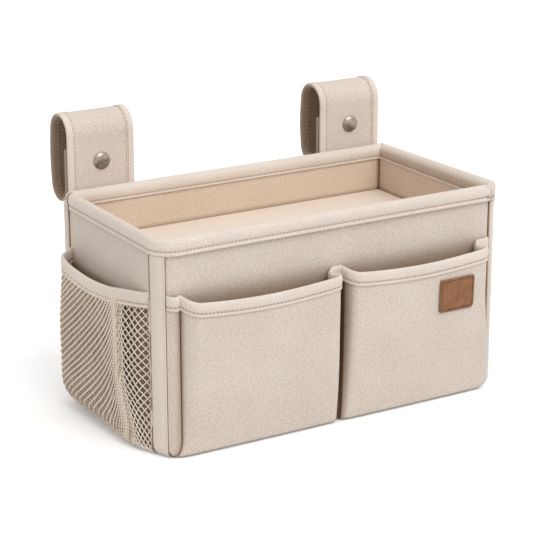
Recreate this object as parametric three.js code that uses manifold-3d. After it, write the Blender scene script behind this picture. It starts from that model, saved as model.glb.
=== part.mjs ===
// A bedside caddy: a board-stiffened fabric box with a bound rim, two front pockets, a net pocket on its
// left side, a raised lift-out floor, and two snap-fastened strap loops that hang it on a bed rail.
// Millimetres, +Z up, front face towards -Y, origin at the middle of the underside.
import * as THREE from "three";
import { mergeVertices } from "three/addons/utils/BufferGeometryUtils.js";
import Module from "manifold-3d";

const wasm = await Module();
wasm.setup();

// Overall sizes of the box, over its bindings
const boxWidth = 320;
const boxDepth = 168;
const boxHeight = 184;
const frontCornerRadius = 12; // upright front edges, in plan
const backCornerRadius = 8;
const sideFootRadius = 18; // lower left and right edges
const backFootRadius = 18;
const frontFootRadius = 8;
const arcSteps = 5; // segments of each rounded edge

// Layers of a wall, from outside to inside
const sewnGap = 0.3; // between two layers
const bindingTape = 0.9;
const outerFabric = 0.8;
const stiffBoard = 2.4;
const liningFabric = 0.8;
const skinOuter = bindingTape + sewnGap; // depths below the outside of the bindings
const skinInner = skinOuter + outerFabric;
const boardOuter = skinInner + sewnGap;
const boardInner = boardOuter + stiffBoard;
const liningOuter = boardInner + sewnGap;
const liningInner = liningOuter + liningFabric;
const rimInnerFace = liningInner + sewnGap;
const rimThickness = rimInnerFace + bindingTape;

// Rim binding
const rimBandOutside = 14; // height of the band on the outside
const rimBandInside = 13;
const wallTop = boxHeight - rimThickness / 2; // the walls end below the rounded fold
const rimFoldSteps = 6;

// Corner bindings
const frontBindingOnSide = 17;
const backBindingOnSide = 12;
const bindingOnFace = 7; // on the front and back faces

// Raised floor
const trayDepth = 42; // from the rim down to the floor
const insertRimGap = 1; // between the floor's edge and the rim binding when it is lifted
const insertFrontRadius = 6; // the floor's corners, in plan
const insertBackRadius = 2;
const insertCover = 0.8;
const coverTurnUnder = 16; // the cover folds this far under the board
const insertThickness = stiffBoard + 2 * (insertCover + sewnGap);

// Front pockets
const pocketFabric = 0.8;
const pocketTape = 0.6;
const pocketBand = 12;
const pocketRootTop = 137; // top of the mouth binding at the wall
const pocketSag = 7; // how far the mouth hangs in the middle
const pocketProud = 16; // how far the mouth stands out
const pocketFootProudShare = 0.12; // of pocketProud, at the foot
const pocketFootHeight = 3;
const pocketSwell = 1.5; // 1 is a straight slope from the foot to the mouth, more is a fuller bag
const pocketRowShares = [0, 0.06, 0.3, 0.65, 1]; // heights of the panel's rows, up to below its binding
const mouthDropShare = 0.55; // of a mouth's sag, that it drops where the fabric turns out from the wall
const pocketStandoff = pocketTape + 2 * sewnGap; // room for the tape behind the sewn strips
const centreSeam = 4;
const leftStrip = 13; // the left pocket's sewn strip beside the corner binding
const rightStrip = 4;
const centreStripLeft = 5; // sewn strips on both sides of the centre seam
const centreStripRight = 4;
const gussetFold = 11; // width over which the panel turns out from its root
const gussetBack = 7; // width over which it turns back at the other end
const foldShares = [[0, 0], [0.3, 0.42], [1, 0.86]]; // along the fold, and of the pocket's reach
const bowShares = [[0.35, 0.98], [0.65, 1]]; // along the panel, and of the reach
const returnShares = [[1.6, 0.94], [0.5, 0.7], [0.12, 0.3], [0, 0]]; // back along the return, and of reach

// Net pocket
const netStrand = 1.2; // thickness of the net
const netBand = 13;
const netRootTop = 137;
const netSag = 6;
const netProud = 15;
const netFootHeight = 11;
const netFootProudShare = 0.14;
const netSwell = 2.2;
const netColumns = 14;
const netRows = 9;
const netHoleShare = 0.76; // of a diamond's size
const netBulgeShares = [
  [0, 0], [0.08, 0.24], [0.19, 0.5], [0.3, 0.8], [0.48, 0.99], [0.66, 1], [0.84, 0.87], [0.95, 0.6], [1, 0],
]; // along the net, and of its reach

// Leather patch
const patchWidth = 35.5;
const patchHeight = 28;
const patchRadius = 2.8;
const patchThickness = 1.6;
const patchFromEnd = 46.7; // the patch's middle, in from the end of the box
const patchBelowMouth = 38.8; // and below the top of the pocket's root
const patchRowShares = [-0.6, -0.2, 0.2, 0.6]; // of its height, past both edges

// Straps
const strapWidth = 62;
const strapFromEnd = 35; // each strap's middle, in from the end of the box
const strapRise = 66; // top of the loop above the rim
const strapLoopDepth = 35.5; // outside of the loop, front to back
const strapSewnDrop = 72; // the front leg is sewn to the back panel down to here below the rim
const strapLoopDrop = 15; // bottom of the loop below the rim
const strapBow = 1.6; // outward bow of the tail's back
const webThickness = 1.6;
const strapTape = 0.5;
const strapTapeWidth = 7.5;
const hingeGap = 0.3; // cut between the leg and the tail at the top of the loop
const strapArcSteps = 4;

// Press studs
const studRise = 21; // a stud's middle above the rim
const tailPastStud = 12; // the tail ends this far above the stud's middle
const capDiameter = 15;
const capDome = 2.6;
const capEdge = 0.7;
const domeShares = [[0, 1], [0.35, 0.94], [0.65, 0.76], [0.87, 0.42], [1, 0]]; // radius and rise of the dome
const shankDiameter = 3;
const socketDiameter = 12;
const socketDepth = 1.8;
const socketBore = 5.6;
const studFlange = 11;
const studFlangeThickness = 0.8;
const studNub = 4.2;
const studReach = 0.8; // how far the nub stands in the socket
const postDiameter = 10;
const postThickness = 1.1;
const snapRoom = 3; // clear space between the leg's and the tail's edge tapes
const roundSegments = 20;
const overrun = 2; // how far a cutting shape runs past what it cuts

const halfWidth = boxWidth / 2;
const halfDepth = boxDepth / 2;

const cream = { color: 0xdad0c2, roughness: 0.85, metalness: 0 };
const creamTape = { color: 0xe4dacb, roughness: 0.8, metalness: 0 };
const tan = { color: 0xcbb69a, roughness: 0.9, metalness: 0 };
const paleFloor = { color: 0xe5d8c7, roughness: 0.8, metalness: 0 };
const greyBoard = { color: 0x9c9286, roughness: 0.95, metalness: 0 };
const netCord = { color: 0xe1d5c5, roughness: 0.8, metalness: 0 };
const leather = { color: 0x96684b, roughness: 0.55, metalness: 0 };
const antiqueNickel = { color: 0x968c7d, roughness: 0.35, metalness: 1 };

const caddy = new THREE.Group();

// A named mesh in the caddy, from a geometry or from a manifold solid.
function addPiece(name, shape, finish) {
  const geometry = shape.isBufferGeometry ? shape : geometryOf(shape);
  const mesh = new THREE.Mesh(geometry, new THREE.MeshStandardMaterial(finish));
  mesh.name = name;
  caddy.add(mesh);
}

// A closed geometry as a manifold solid.
function solidOf(geometry) {
  const bare = new THREE.BufferGeometry();
  const source = geometry.index ? geometry.toNonIndexed() : geometry;
  bare.setAttribute("position", source.getAttribute("position"));
  const merged = mergeVertices(bare, 1e-4);
  const mesh = new wasm.Mesh({
    numProp: 3,
    vertProperties: merged.attributes.position.array,
    triVerts: new Uint32Array(merged.index.array),
  });
  return new wasm.Manifold(mesh);
}

function geometryOf(solid) {
  const mesh = solid.getMesh();
  const geometry = new THREE.BufferGeometry();
  geometry.setAttribute("position", new THREE.BufferAttribute(mesh.vertProperties, 3));
  geometry.setIndex(new THREE.BufferAttribute(mesh.triVerts, 1));
  geometry.computeVertexNormals();
  return geometry;
}

// A box between two opposite corners.
function boxBetween(low, high) {
  const size = high.map((value, axis) => value - low[axis]);
  const middle = high.map((value, axis) => (value + low[axis]) / 2);
  return new THREE.BoxGeometry(...size).translate(...middle);
}

// A flat outline, extruded along +Z from one height to another.
function slab(outline, bottom, top, curveSegments = arcSteps) {
  const settings = { depth: top - bottom, bevelEnabled: false, curveSegments };
  return new THREE.ExtrudeGeometry(outline, settings).translate(0, 0, bottom);
}

// A rectangle whose corners have their own radii, from the lower left round by the lower right.
function roundedRectangle(left, bottom, right, top, radii) {
  const [a, b, c, d] = radii;
  const shape = new THREE.Shape();
  shape.moveTo(left + a, bottom);
  shape.lineTo(right - b, bottom);
  if (b > 0) shape.absarc(right - b, bottom + b, b, -Math.PI / 2, 0, false);
  shape.lineTo(right, top - c);
  if (c > 0) shape.absarc(right - c, top - c, c, 0, Math.PI / 2, false);
  shape.lineTo(left + d, top);
  if (d > 0) shape.absarc(left + d, top - d, d, Math.PI / 2, Math.PI, false);
  shape.lineTo(left, bottom + a);
  if (a > 0) shape.absarc(left + a, bottom + a, a, Math.PI, (3 * Math.PI) / 2, false);
  return shape;
}

// The box's plan, inset from the outside of its bindings.
function planOutline(inset) {
  const front = Math.max(frontCornerRadius - inset, 0);
  const back = Math.max(backCornerRadius - inset, 0);
  const x = halfWidth - inset;
  const y = halfDepth - inset;
  return roundedRectangle(-x, -y, x, y, [front, front, back, back]);
}

// The solid inside the box's outside, inset on every side but the top, with its rounded feet.
function bodySolid(inset, top) {
  const x = halfWidth - inset;
  const y = halfDepth - inset;
  const plan = slab(planOutline(inset), inset, top);
  const side = sideFootRadius - inset;
  const acrossOutline = roundedRectangle(-x, inset, x, top + overrun, [side, side, 0, 0]);
  const across = slab(acrossOutline, -halfDepth, halfDepth).rotateX(Math.PI / 2);
  const feet = [backFootRadius - inset, frontFootRadius - inset, 0, 0];
  const alongOutline = roundedRectangle(-y, inset, y, top + overrun, feet);
  const along = slab(alongOutline, -halfWidth, halfWidth).rotateX(Math.PI / 2).rotateZ(-Math.PI / 2);
  return solidOf(plan).intersect(solidOf(across)).intersect(solidOf(along));
}

// One layer of the box's wall, open at the top.
function layer(outerInset, innerInset, top) {
  return bodySolid(outerInset, top).subtract(bodySolid(innerInset, top + overrun));
}

// Everything inside the box's front outline, inset alike all round but at the top.
function acrossPrism(inset) {
  const x = halfWidth - inset;
  const radius = sideFootRadius - inset;
  const outline = roundedRectangle(-x, inset, x, boxHeight + overrun, [radius, radius, 0, 0]);
  const reach = boxDepth;
  return solidOf(slab(outline, -reach, reach).rotateX(Math.PI / 2));
}

// The quarter of the box that one side's panels come from, mitred at 45 degrees to its neighbours.
const mitreDepth = Math.max(sideFootRadius, backFootRadius) + overrun;
function sideWedge(side) {
  const far = mitreDepth;
  const turned = side === "left" || side === "right";
  const half = turned ? halfDepth : halfWidth;
  const edge = turned ? halfWidth : halfDepth;
  const outline = new THREE.Shape();
  outline.moveTo(-half - overrun, -edge - overrun - sewnGap);
  outline.lineTo(half + overrun, -edge - overrun - sewnGap);
  outline.lineTo(half - far, far - edge - sewnGap);
  outline.lineTo(far - half, far - edge - sewnGap);
  const turns = { front: 0, right: Math.PI / 2, back: Math.PI, left: -Math.PI / 2 };
  return solidOf(slab(outline, -overrun, boxHeight + overrun).rotateZ(turns[side]));
}
const sides = ["front", "back", "left", "right"];

// A closed body swept along frames: each frame has an origin and the directions of the section's two axes.
function sweep(outline, frames) {
  const section = THREE.ShapeUtils.isClockWise(outline) ? [...outline].reverse() : outline;
  const points = [];
  for (const frame of frames) {
    for (const corner of section) {
      const point = frame.origin.clone();
      point.addScaledVector(frame.across, corner.x);
      point.addScaledVector(frame.up, corner.y);
      points.push(point);
    }
  }
  const count = section.length;
  const faces = [];
  for (let ring = 0; ring < frames.length - 1; ring++) {
    for (let i = 0; i < count; i++) {
      const a = ring * count + i;
      const b = ring * count + ((i + 1) % count);
      faces.push([a, b, b + count], [a, b + count, a + count]);
    }
  }
  const last = (frames.length - 1) * count;
  for (const triangle of THREE.ShapeUtils.triangulateShape(section, [])) {
    const corners = triangle.map((i) => section[i]);
    const [i, j, k] = THREE.ShapeUtils.isClockWise(corners) ? [...triangle].reverse() : triangle;
    faces.push([i, k, j], [i + last, j + last, k + last]);
  }
  return closedBody(points, faces);
}

// A geometry from points and triangles, turned so that its faces point outwards.
function closedBody(points, faces) {
  let volume = 0;
  for (const [a, b, c] of faces) {
    volume += points[a].dot(new THREE.Vector3().crossVectors(points[b], points[c]));
  }
  const order = volume < 0 ? faces.map(([a, b, c]) => [a, c, b]) : faces;
  const geometry = new THREE.BufferGeometry().setFromPoints(points);
  geometry.setIndex(order.flat());
  geometry.computeVertexNormals();
  return geometry;
}

// A U-shaped fold of tape round an edge: across from the middle of the edge, up from its top.
function foldSection(innerHalf, tape, outsideLeg, insideLeg) {
  const outerHalf = innerHalf + tape;
  return [
    [outerHalf, -outsideLeg],
    [outerHalf, -tape],
    [innerHalf, 0],
    [-innerHalf, 0],
    [-outerHalf, -tape],
    [-outerHalf, -insideLeg],
    [-innerHalf, -insideLeg],
    [-innerHalf, -tape],
    [innerHalf, -tape],
    [innerHalf, -outsideLeg],
  ].map(([x, y]) => new THREE.Vector2(x, y));
}

// The flat middle of the underside, between the rounded feet, inset from its seams.
function underside(bottom, top, spare) {
  const x = halfWidth - sideFootRadius - spare;
  const low = [-x, frontFootRadius - halfDepth + spare, bottom];
  const high = [x, halfDepth - backFootRadius - spare, top];
  return boxBetween(low, high);
}

// Outer fabric, stiff boards and lining of the four walls and the base.
function addWalls() {
  const skins = layer(skinOuter, skinInner, wallTop);
  const linings = layer(liningOuter, liningInner, wallTop);
  const skinSeam = solidOf(underside(-overrun, skinInner + overrun, 0));
  const liningSeam = solidOf(underside(0, liningInner + overrun, 0));
  for (const side of sides) {
    const wedge = sideWedge(side);
    addPiece(side + "_panel", skins.intersect(wedge).subtract(skinSeam), cream);
    addPiece(side + "_lining", linings.intersect(wedge).subtract(liningSeam), tan);
  }
  addPiece("base_panel", underside(0, skinInner, sewnGap), cream);
  addPiece("base_board", underside(boardOuter, boardInner, sewnGap), greyBoard);
  addPiece("base_lining", underside(liningOuter, liningInner, sewnGap), tan);

  const x = halfWidth - boardOuter;
  const innerX = halfWidth - boardInner;
  const y = halfDepth - boardOuter;
  const innerY = halfDepth - boardInner;
  const frontX = halfWidth - frontCornerRadius;
  const backX = halfWidth - backCornerRadius;
  const frontY = frontCornerRadius - halfDepth;
  const backY = halfDepth - backCornerRadius;
  addPiece("front_board", boxBetween([-frontX, -y, frontFootRadius], [frontX, -innerY, wallTop]), greyBoard);
  addPiece("back_board", boxBetween([-backX, innerY, backFootRadius], [backX, y, wallTop]), greyBoard);
  addPiece("left_board", boxBetween([-x, frontY, sideFootRadius], [-innerX, backY, wallTop]), greyBoard);
  addPiece("right_board", boxBetween([innerX, frontY, sideFootRadius], [x, backY, wallTop]), greyBoard);
}

// The rim binding's section: across inwards from its outside face, up from the ground.
function rimSection() {
  const middle = rimThickness / 2;
  const points = [];
  const fold = (radius, from, to) => {
    for (let i = 0; i <= rimFoldSteps; i++) {
      const angle = from + ((to - from) * i) / rimFoldSteps;
      points.push(new THREE.Vector2(middle + radius * Math.cos(angle), wallTop + radius * Math.sin(angle)));
    }
  };
  points.push(new THREE.Vector2(0, boxHeight - rimBandOutside));
  fold(middle, Math.PI, 0);
  points.push(new THREE.Vector2(rimThickness, boxHeight - rimBandInside));
  points.push(new THREE.Vector2(rimInnerFace, boxHeight - rimBandInside));
  fold(middle - bindingTape, 0, Math.PI);
  points.push(new THREE.Vector2(bindingTape, boxHeight - rimBandOutside));
  return points;
}

// Frames round an upright corner of the box, from one angle to another.
function cornerFrames(x, y, radius, from, to) {
  const frames = [];
  for (let i = 0; i <= arcSteps; i++) {
    const angle = from + ((to - from) * i) / arcSteps;
    const outward = new THREE.Vector3(Math.cos(angle), Math.sin(angle), 0);
    const origin = new THREE.Vector3(x, y, 0).addScaledVector(outward, radius);
    frames.push({ origin, across: outward.negate(), up: new THREE.Vector3(0, 0, 1) });
  }
  return frames;
}

function wallFrame(x, y, inwardX, inwardY) {
  const across = new THREE.Vector3(inwardX, inwardY, 0);
  return { origin: new THREE.Vector3(x, y, 0), across, up: new THREE.Vector3(0, 0, 1) };
}

// Rim binding: the front length runs on round both front corners, and the back one round both back corners.
function addRim() {
  const section = rimSection();
  const backReturn = halfDepth - backBindingOnSide;
  const frontX = halfWidth - frontCornerRadius;
  const frontY = frontCornerRadius - halfDepth;
  const backX = halfWidth - backCornerRadius;
  const backY = halfDepth - backCornerRadius;
  const seamY = frontY + frontBindingOnSide - frontCornerRadius;
  const quarter = Math.PI / 2;
  addPiece("rim_binding_front", sweep(section, [
    wallFrame(-halfWidth, backReturn - sewnGap, 1, 0),
    ...cornerFrames(-frontX, frontY, frontCornerRadius, 2 * quarter, 3 * quarter),
    ...cornerFrames(frontX, frontY, frontCornerRadius, -quarter, 0),
    wallFrame(halfWidth, seamY, -1, 0),
  ]), creamTape);
  addPiece("rim_binding_right", sweep(section, [
    wallFrame(halfWidth, seamY + sewnGap, -1, 0),
    wallFrame(halfWidth, backReturn - sewnGap, -1, 0),
  ]), creamTape);
  addPiece("rim_binding_back", sweep(section, [
    wallFrame(halfWidth, backReturn, -1, 0),
    ...cornerFrames(backX, backY, backCornerRadius, 0, quarter),
    ...cornerFrames(-backX, backY, backCornerRadius, quarter, 2 * quarter),
    wallFrame(-halfWidth, backReturn, 1, 0),
  ]), creamTape);
}

// Folded tape over each upright seam, from the rim band down and under the rounded foot.
function addCornerBindings() {
  const top = boxHeight - rimBandOutside - sewnGap;
  const tape = bodySolid(0, top).subtract(bodySolid(bindingTape, top + overrun));
  const band = tape.subtract(acrossPrism(bindingOnFace));
  const seamX = halfWidth - sideFootRadius + sewnGap;
  for (const [side, sign] of [["left", -1], ["right", 1]]) {
    for (const [face, from, to] of [
      ["front", -halfDepth - overrun, frontBindingOnSide - halfDepth],
      ["back", halfDepth - backBindingOnSide, halfDepth + overrun],
    ]) {
      const edges = [sign * seamX, sign * (halfWidth + overrun)].sort((a, b) => a - b);
      const region = boxBetween([edges[0], from, -overrun], [edges[1], to, boxHeight]);
      addPiece("corner_binding_" + face + "_" + side, band.intersect(solidOf(region)), creamTape);
    }
  }
}

// The raised floor's plan, inset from its edge.
function floorOutline(inset) {
  const x = halfWidth - rimThickness - insertRimGap - inset;
  const y = halfDepth - rimThickness - insertRimGap - inset;
  const front = Math.max(insertFrontRadius - inset, 0);
  const back = Math.max(insertBackRadius - inset, 0);
  return roundedRectangle(-x, -y, x, y, [front, front, back, back]);
}

// The raised floor: a board in its folded cover, resting on four riser boards.
function addFloor() {
  const floorTop = boxHeight - trayDepth;
  const bottom = floorTop - insertThickness;
  const boardBottom = bottom + insertCover + sewnGap;
  const cavity = slab(floorOutline(insertCover), bottom + insertCover, floorTop - insertCover);
  const window = slab(floorOutline(coverTurnUnder), bottom - overrun, bottom + insertCover + overrun);
  const cover = solidOf(slab(floorOutline(0), bottom, floorTop));
  addPiece("floor_cover", cover.subtract(solidOf(cavity)).subtract(solidOf(window)), paleFloor);
  const board = slab(floorOutline(insertCover + sewnGap), boardBottom, boardBottom + stiffBoard);
  addPiece("floor_board", board, greyBoard);

  const riserBottom = liningInner + sewnGap;
  const riserTop = bottom - sewnGap;
  const x = halfWidth - sideFootRadius - sewnGap;
  const front = frontFootRadius + sewnGap - halfDepth;
  const back = halfDepth - backFootRadius - sewnGap;
  const sideFront = front + stiffBoard + sewnGap;
  const sideBack = back - stiffBoard - sewnGap;
  addPiece("riser_front", boxBetween([-x, front, riserBottom], [x, front + stiffBoard, riserTop]), greyBoard);
  addPiece("riser_back", boxBetween([-x, back - stiffBoard, riserBottom], [x, back, riserTop]), greyBoard);
  const innerX = x - stiffBoard;
  addPiece("riser_left", boxBetween([-x, sideFront, riserBottom], [-innerX, sideBack, riserTop]), greyBoard);
  addPiece("riser_right", boxBetween([innerX, sideFront, riserBottom], [x, sideBack, riserTop]), greyBoard);
}

// How far a wall curves in near the ground, where its foot is rounded.
function curveIn(radius, height) {
  const outer = radius - skinOuter;
  const drop = Math.max(radius - height, 0);
  return outer - Math.sqrt(outer * outer - drop * drop);
}

// A pocket sewn to a wall, in local axes: along the wall, out from its fabric, and up.
// Its bulge is a list of places along the wall with the share of the pocket's full reach there.
function pocket(values) {
  const knots = values.bulge.map(([along, share]) => new THREE.Vector3(along, share, 0));
  const curve = new THREE.CatmullRomCurve3(knots, false, "centripetal");
  const bulge = knots.flatMap((knot, i) => {
    if (i === knots.length - 1) return [[knot.x, 0]];
    const between = [];
    for (let step = 0; step < values.steps; step++) {
      const point = curve.getPoint((i + step / values.steps) / (knots.length - 1));
      between.push([point.x, Math.max(point.y, 0)]);
    }
    return between;
  });
  const ends = [[values.start, 0], ...bulge, [values.end, 0]];
  const unique = ends.filter(([along], i) => i === 0 || along - ends[i - 1][0] > sewnGap);
  return { ...values, stations: values.columns ? evenStations(unique, values.columns) : unique };
}

// The same outline, with its stations evenly spaced along the wall.
function evenStations(stations, columns) {
  const [start, end] = [stations[0][0], stations[stations.length - 1][0]];
  return Array.from({ length: columns + 1 }, (_, i) => {
    const along = start + ((end - start) * i) / columns;
    const next = Math.max(1, stations.findIndex(([place]) => place >= along - sewnGap));
    const [from, to] = [stations[next - 1], stations[next]];
    const blend = THREE.MathUtils.clamp((along - from[0]) / (to[0] - from[0]), 0, 1);
    return [along, THREE.MathUtils.lerp(from[1], to[1], blend)];
  });
}

// Height of the top of the pocket's fabric at a station.
function mouthHeight(bag, index) {
  const [along, share] = bag.stations[index];
  const first = bag.bulge[0][0];
  const last = bag.bulge[bag.bulge.length - 1][0];
  const across = THREE.MathUtils.clamp((along - first) / (last - first), 0, 1);
  const hang = mouthDropShare * share + (1 - mouthDropShare) * Math.sin(Math.PI * across);
  return bag.rootTop - bag.tape - sewnGap - bag.sag * hang;
}

// Share of the full reach at a height: all of it from below the binding up, less towards the foot.
function fullness(bag, height) {
  const bandFoot = bag.rootTop - bag.sag - bag.band - overrun;
  const rise = THREE.MathUtils.clamp((height - bag.footHeight) / (bandFoot - bag.footHeight), 0, 1);
  return bag.footShare + (1 - bag.footShare) * (1 - Math.pow(1 - rise, bag.swell));
}

// The pocket in plan at a height, as points along and out, a depth under its outer face.
function planAt(bag, index, height, depth) {
  const place = (i) => {
    const [along, share] = bag.stations[THREE.MathUtils.clamp(i, 0, bag.stations.length - 1)];
    return new THREE.Vector2(along, share * bag.proud * fullness(bag, height));
  };
  const here = place(index);
  const tangent = place(index + 1).sub(place(index - 1)).normalize();
  const outward = new THREE.Vector2(-tangent.y, tangent.x);
  here.y += pocketStandoff + bag.thickness;
  return { point: here.addScaledVector(outward, -depth), outward };
}

// A point in the caddy's frame from a wall's local axes.
function onWall(bag, along, out, height) {
  const reach = out - curveIn(bag.footRadius, height);
  if (bag.wall === "left") return new THREE.Vector3(skinOuter - halfWidth - reach, along, height);
  return new THREE.Vector3(along, skinOuter - halfDepth - reach, height);
}

function bagPoint(bag, index, height, depth) {
  const { point } = planAt(bag, index, height, depth);
  return onWall(bag, point.x, point.y, height);
}

// A closed sheet between two depths under a pocket's outer face, over heights given for each station.
function bagSheet(bag, heightsAt, nearDepth, farDepth) {
  const columns = bag.stations.length;
  const rows = heightsAt(0).length;
  const points = [];
  for (const depth of [nearDepth, farDepth]) {
    for (let i = 0; i < columns; i++) {
      for (const height of heightsAt(i)) points.push(bagPoint(bag, i, height, depth));
    }
  }
  const side = columns * rows;
  const faces = [];
  const quad = (a, b, c, d) => faces.push([a, b, c], [a, c, d]);
  for (let i = 0; i < columns - 1; i++) {
    for (let j = 0; j < rows - 1; j++) {
      const a = i * rows + j;
      quad(a, a + rows, a + rows + 1, a + 1);
      quad(a + side, a + side + 1, a + side + rows + 1, a + side + rows);
    }
    const low = i * rows;
    const high = low + rows - 1;
    quad(low, low + side, low + side + rows, low + rows);
    quad(high, high + rows, high + side + rows, high + side);
  }
  const lastColumn = (columns - 1) * rows;
  for (let j = 0; j < rows - 1; j++) {
    quad(j, j + 1, j + 1 + side, j + side);
    const a = lastColumn + j;
    quad(a, a + side, a + 1 + side, a + 1);
  }
  return closedBody(points, faces);
}

// The folded tape over a pocket's mouth.
function mouthBinding(bag) {
  const innerHalf = bag.thickness / 2 + sewnGap;
  const leg = bag.band - bag.tape;
  const section = foldSection(innerHalf, bag.tape, leg, leg);
  const frames = bag.stations.map((station, i) => {
    const height = mouthHeight(bag, i);
    const { point, outward } = planAt(bag, i, height, bag.thickness / 2);
    const origin = onWall(bag, point.x, point.y, height + sewnGap + bag.tape);
    const foot = onWall(bag, 0, 0, height);
    const across = onWall(bag, outward.x, outward.y, height).sub(foot);
    return { origin, across, up: new THREE.Vector3(0, 0, 1) };
  });
  return sweep(section, frames);
}

// Front pockets: each panel folds out of its left root, bows across and turns back to the wall on its right.
function frontPocket(start, leftRoot, rightRoot, end) {
  const bulge = [
    ...foldShares.map(([along, reach]) => [leftRoot + gussetFold * along, reach]),
    ...bowShares.map(([along, reach]) => [leftRoot + (rightRoot - leftRoot) * along, reach]),
    ...returnShares.map(([along, reach]) => [rightRoot - gussetBack * along, reach]),
  ];
  return pocket({
    wall: "front",
    start,
    end,
    bulge,
    steps: 2,
    proud: pocketProud,
    sag: pocketSag,
    rootTop: pocketRootTop,
    band: pocketBand,
    tape: pocketTape,
    thickness: pocketFabric,
    footShare: pocketFootProudShare,
    footHeight: pocketFootHeight,
    footRadius: frontFootRadius,
    swell: pocketSwell,
  });
}

function addFrontPockets() {
  const bindingEdge = halfWidth - bindingOnFace - sewnGap;
  const leftEnd = centreSeam - sewnGap;
  const rightStart = centreSeam + sewnGap;
  const left = frontPocket(-bindingEdge, leftStrip - bindingEdge, leftEnd - centreStripLeft, leftEnd);
  const right = frontPocket(rightStart, rightStart + centreStripRight, bindingEdge - rightStrip, bindingEdge);
  const outline = acrossPrism(bindingOnFace + sewnGap);
  for (const [side, bag] of [["left", left], ["right", right]]) {
    const heights = (i) => {
      const top = mouthHeight(bag, i);
      const bandFoot = bag.rootTop - bag.sag - bag.band - overrun;
      const rows = pocketRowShares.map((share) => bag.footHeight + (bandFoot - bag.footHeight) * share);
      return [...rows, top];
    };
    const body = solidOf(bagSheet(bag, heights, 0, bag.thickness)).intersect(outline);
    addPiece("front_pocket_" + side, body, cream);
    addPiece("front_pocket_binding_" + side, mouthBinding(bag), creamTape);
  }
  addPatch(right);
}

// The leather patch, lying on the right pocket's curved front.
function addPatch(bag) {
  const x = patchWidth / 2;
  const z = patchHeight / 2;
  const middleX = halfWidth - patchFromEnd;
  const middleZ = pocketRootTop - patchBelowMouth;
  const radii = [patchRadius, patchRadius, patchRadius, patchRadius];
  const outline = roundedRectangle(-x, -z, x, z, radii);
  const cutter = slab(outline, 0, boxDepth).rotateX(Math.PI / 2).translate(middleX, 0, middleZ);
  const heights = () => patchRowShares.map((share) => middleZ + patchHeight * share);
  const skin = bagSheet(bag, heights, -sewnGap - patchThickness, -sewnGap);
  addPiece("leather_patch", solidOf(skin).intersect(solidOf(cutter)), leather);
}

// Net pocket: a lattice of strands with diamond gaps, bulged out from the left wall.
function addNetPocket() {
  const start = frontBindingOnSide - halfDepth + sewnGap;
  const end = halfDepth - backBindingOnSide - sewnGap;
  const first = start + sewnGap;
  const last = end - sewnGap;
  const bag = pocket({
    wall: "left",
    start,
    end,
    bulge: netBulgeShares.map(([along, reach]) => [first + (last - first) * along, reach]),
    steps: 2,
    columns: netColumns,
    proud: netProud,
    sag: netSag,
    rootTop: netRootTop,
    band: netBand,
    tape: pocketTape,
    thickness: netStrand,
    footShare: netFootProudShare,
    footHeight: netFootHeight,
    footRadius: sideFootRadius,
    swell: netSwell,
  });
  addPiece("mesh_pocket_net", lattice(bag), netCord);
  addPiece("mesh_pocket_binding", mouthBinding(bag), creamTape);
}

// A point of the net, from its columns and a share of its height, a depth under its outer face.
function netPoint(bag, column, heightShare, depth) {
  const from = Math.min(Math.floor(column), netColumns - 1);
  const pair = [from, from + 1].map((i) => {
    const top = mouthHeight(bag, i);
    return bagPoint(bag, i, bag.footHeight + (top - bag.footHeight) * heightShare, depth);
  });
  return pair[0].lerp(pair[1], column - from);
}

function lattice(bag) {
  const wide = 2 * netColumns;
  const high = 2 * netRows;
  const points = [];
  const faces = [];
  // Each place has a point on the outer face and, next in the list, one on the inner face.
  const add = (i, j) => {
    for (const depth of [0, bag.thickness]) points.push(netPoint(bag, i / 2, j / high, depth));
    return points.length - 2;
  };
  const knots = new Map();
  const knot = (i, j) => {
    const key = i + "," + j;
    if (!knots.has(key)) knots.set(key, add(i, j));
    return knots.get(key);
  };
  // A patch of net between corners given in order, on both faces, and a wall from one face to the other.
  const patch = (...corners) => {
    for (let i = 2; i < corners.length; i++) {
      const [a, b, c] = [corners[0], corners[i - 1], corners[i]];
      faces.push([a, b, c], [a + 1, c + 1, b + 1]);
    }
  };
  const wall = (a, b) => faces.push([a, b, b + 1], [a, b + 1, a + 1]);
  const around = [[1, 0], [0, 1], [-1, 0], [0, -1]];
  const isOnNet = (i, j) => i >= 0 && i <= wide && j >= 0 && j <= high;
  for (let i = 0; i <= wide; i++) {
    for (let j = 0; j <= high; j++) {
      if ((i + j) % 2 === 0) continue;
      const inside = around.map(([di, dj]) => isOnNet(i + di, j + dj));
      const corners = around.map(([di, dj], n) => (inside[n] ? knot(i + di, j + dj) : null));
      const missing = inside.indexOf(false);
      if (missing >= 0) {
        const half = [1, 2, 3].map((n) => corners[(missing + n) % 4]);
        patch(...half);
        wall(half[0], half[2]);
        continue;
      }
      const hole = around.map(([di, dj]) => add(i + di * netHoleShare, j + dj * netHoleShare));
      corners.forEach((corner, n) => {
        const next = (n + 1) % 4;
        patch(corner, corners[next], hole[next], hole[n]);
        wall(hole[n], hole[next]);
      });
    }
  }
  return closedBody(points, faces);
}

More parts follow.
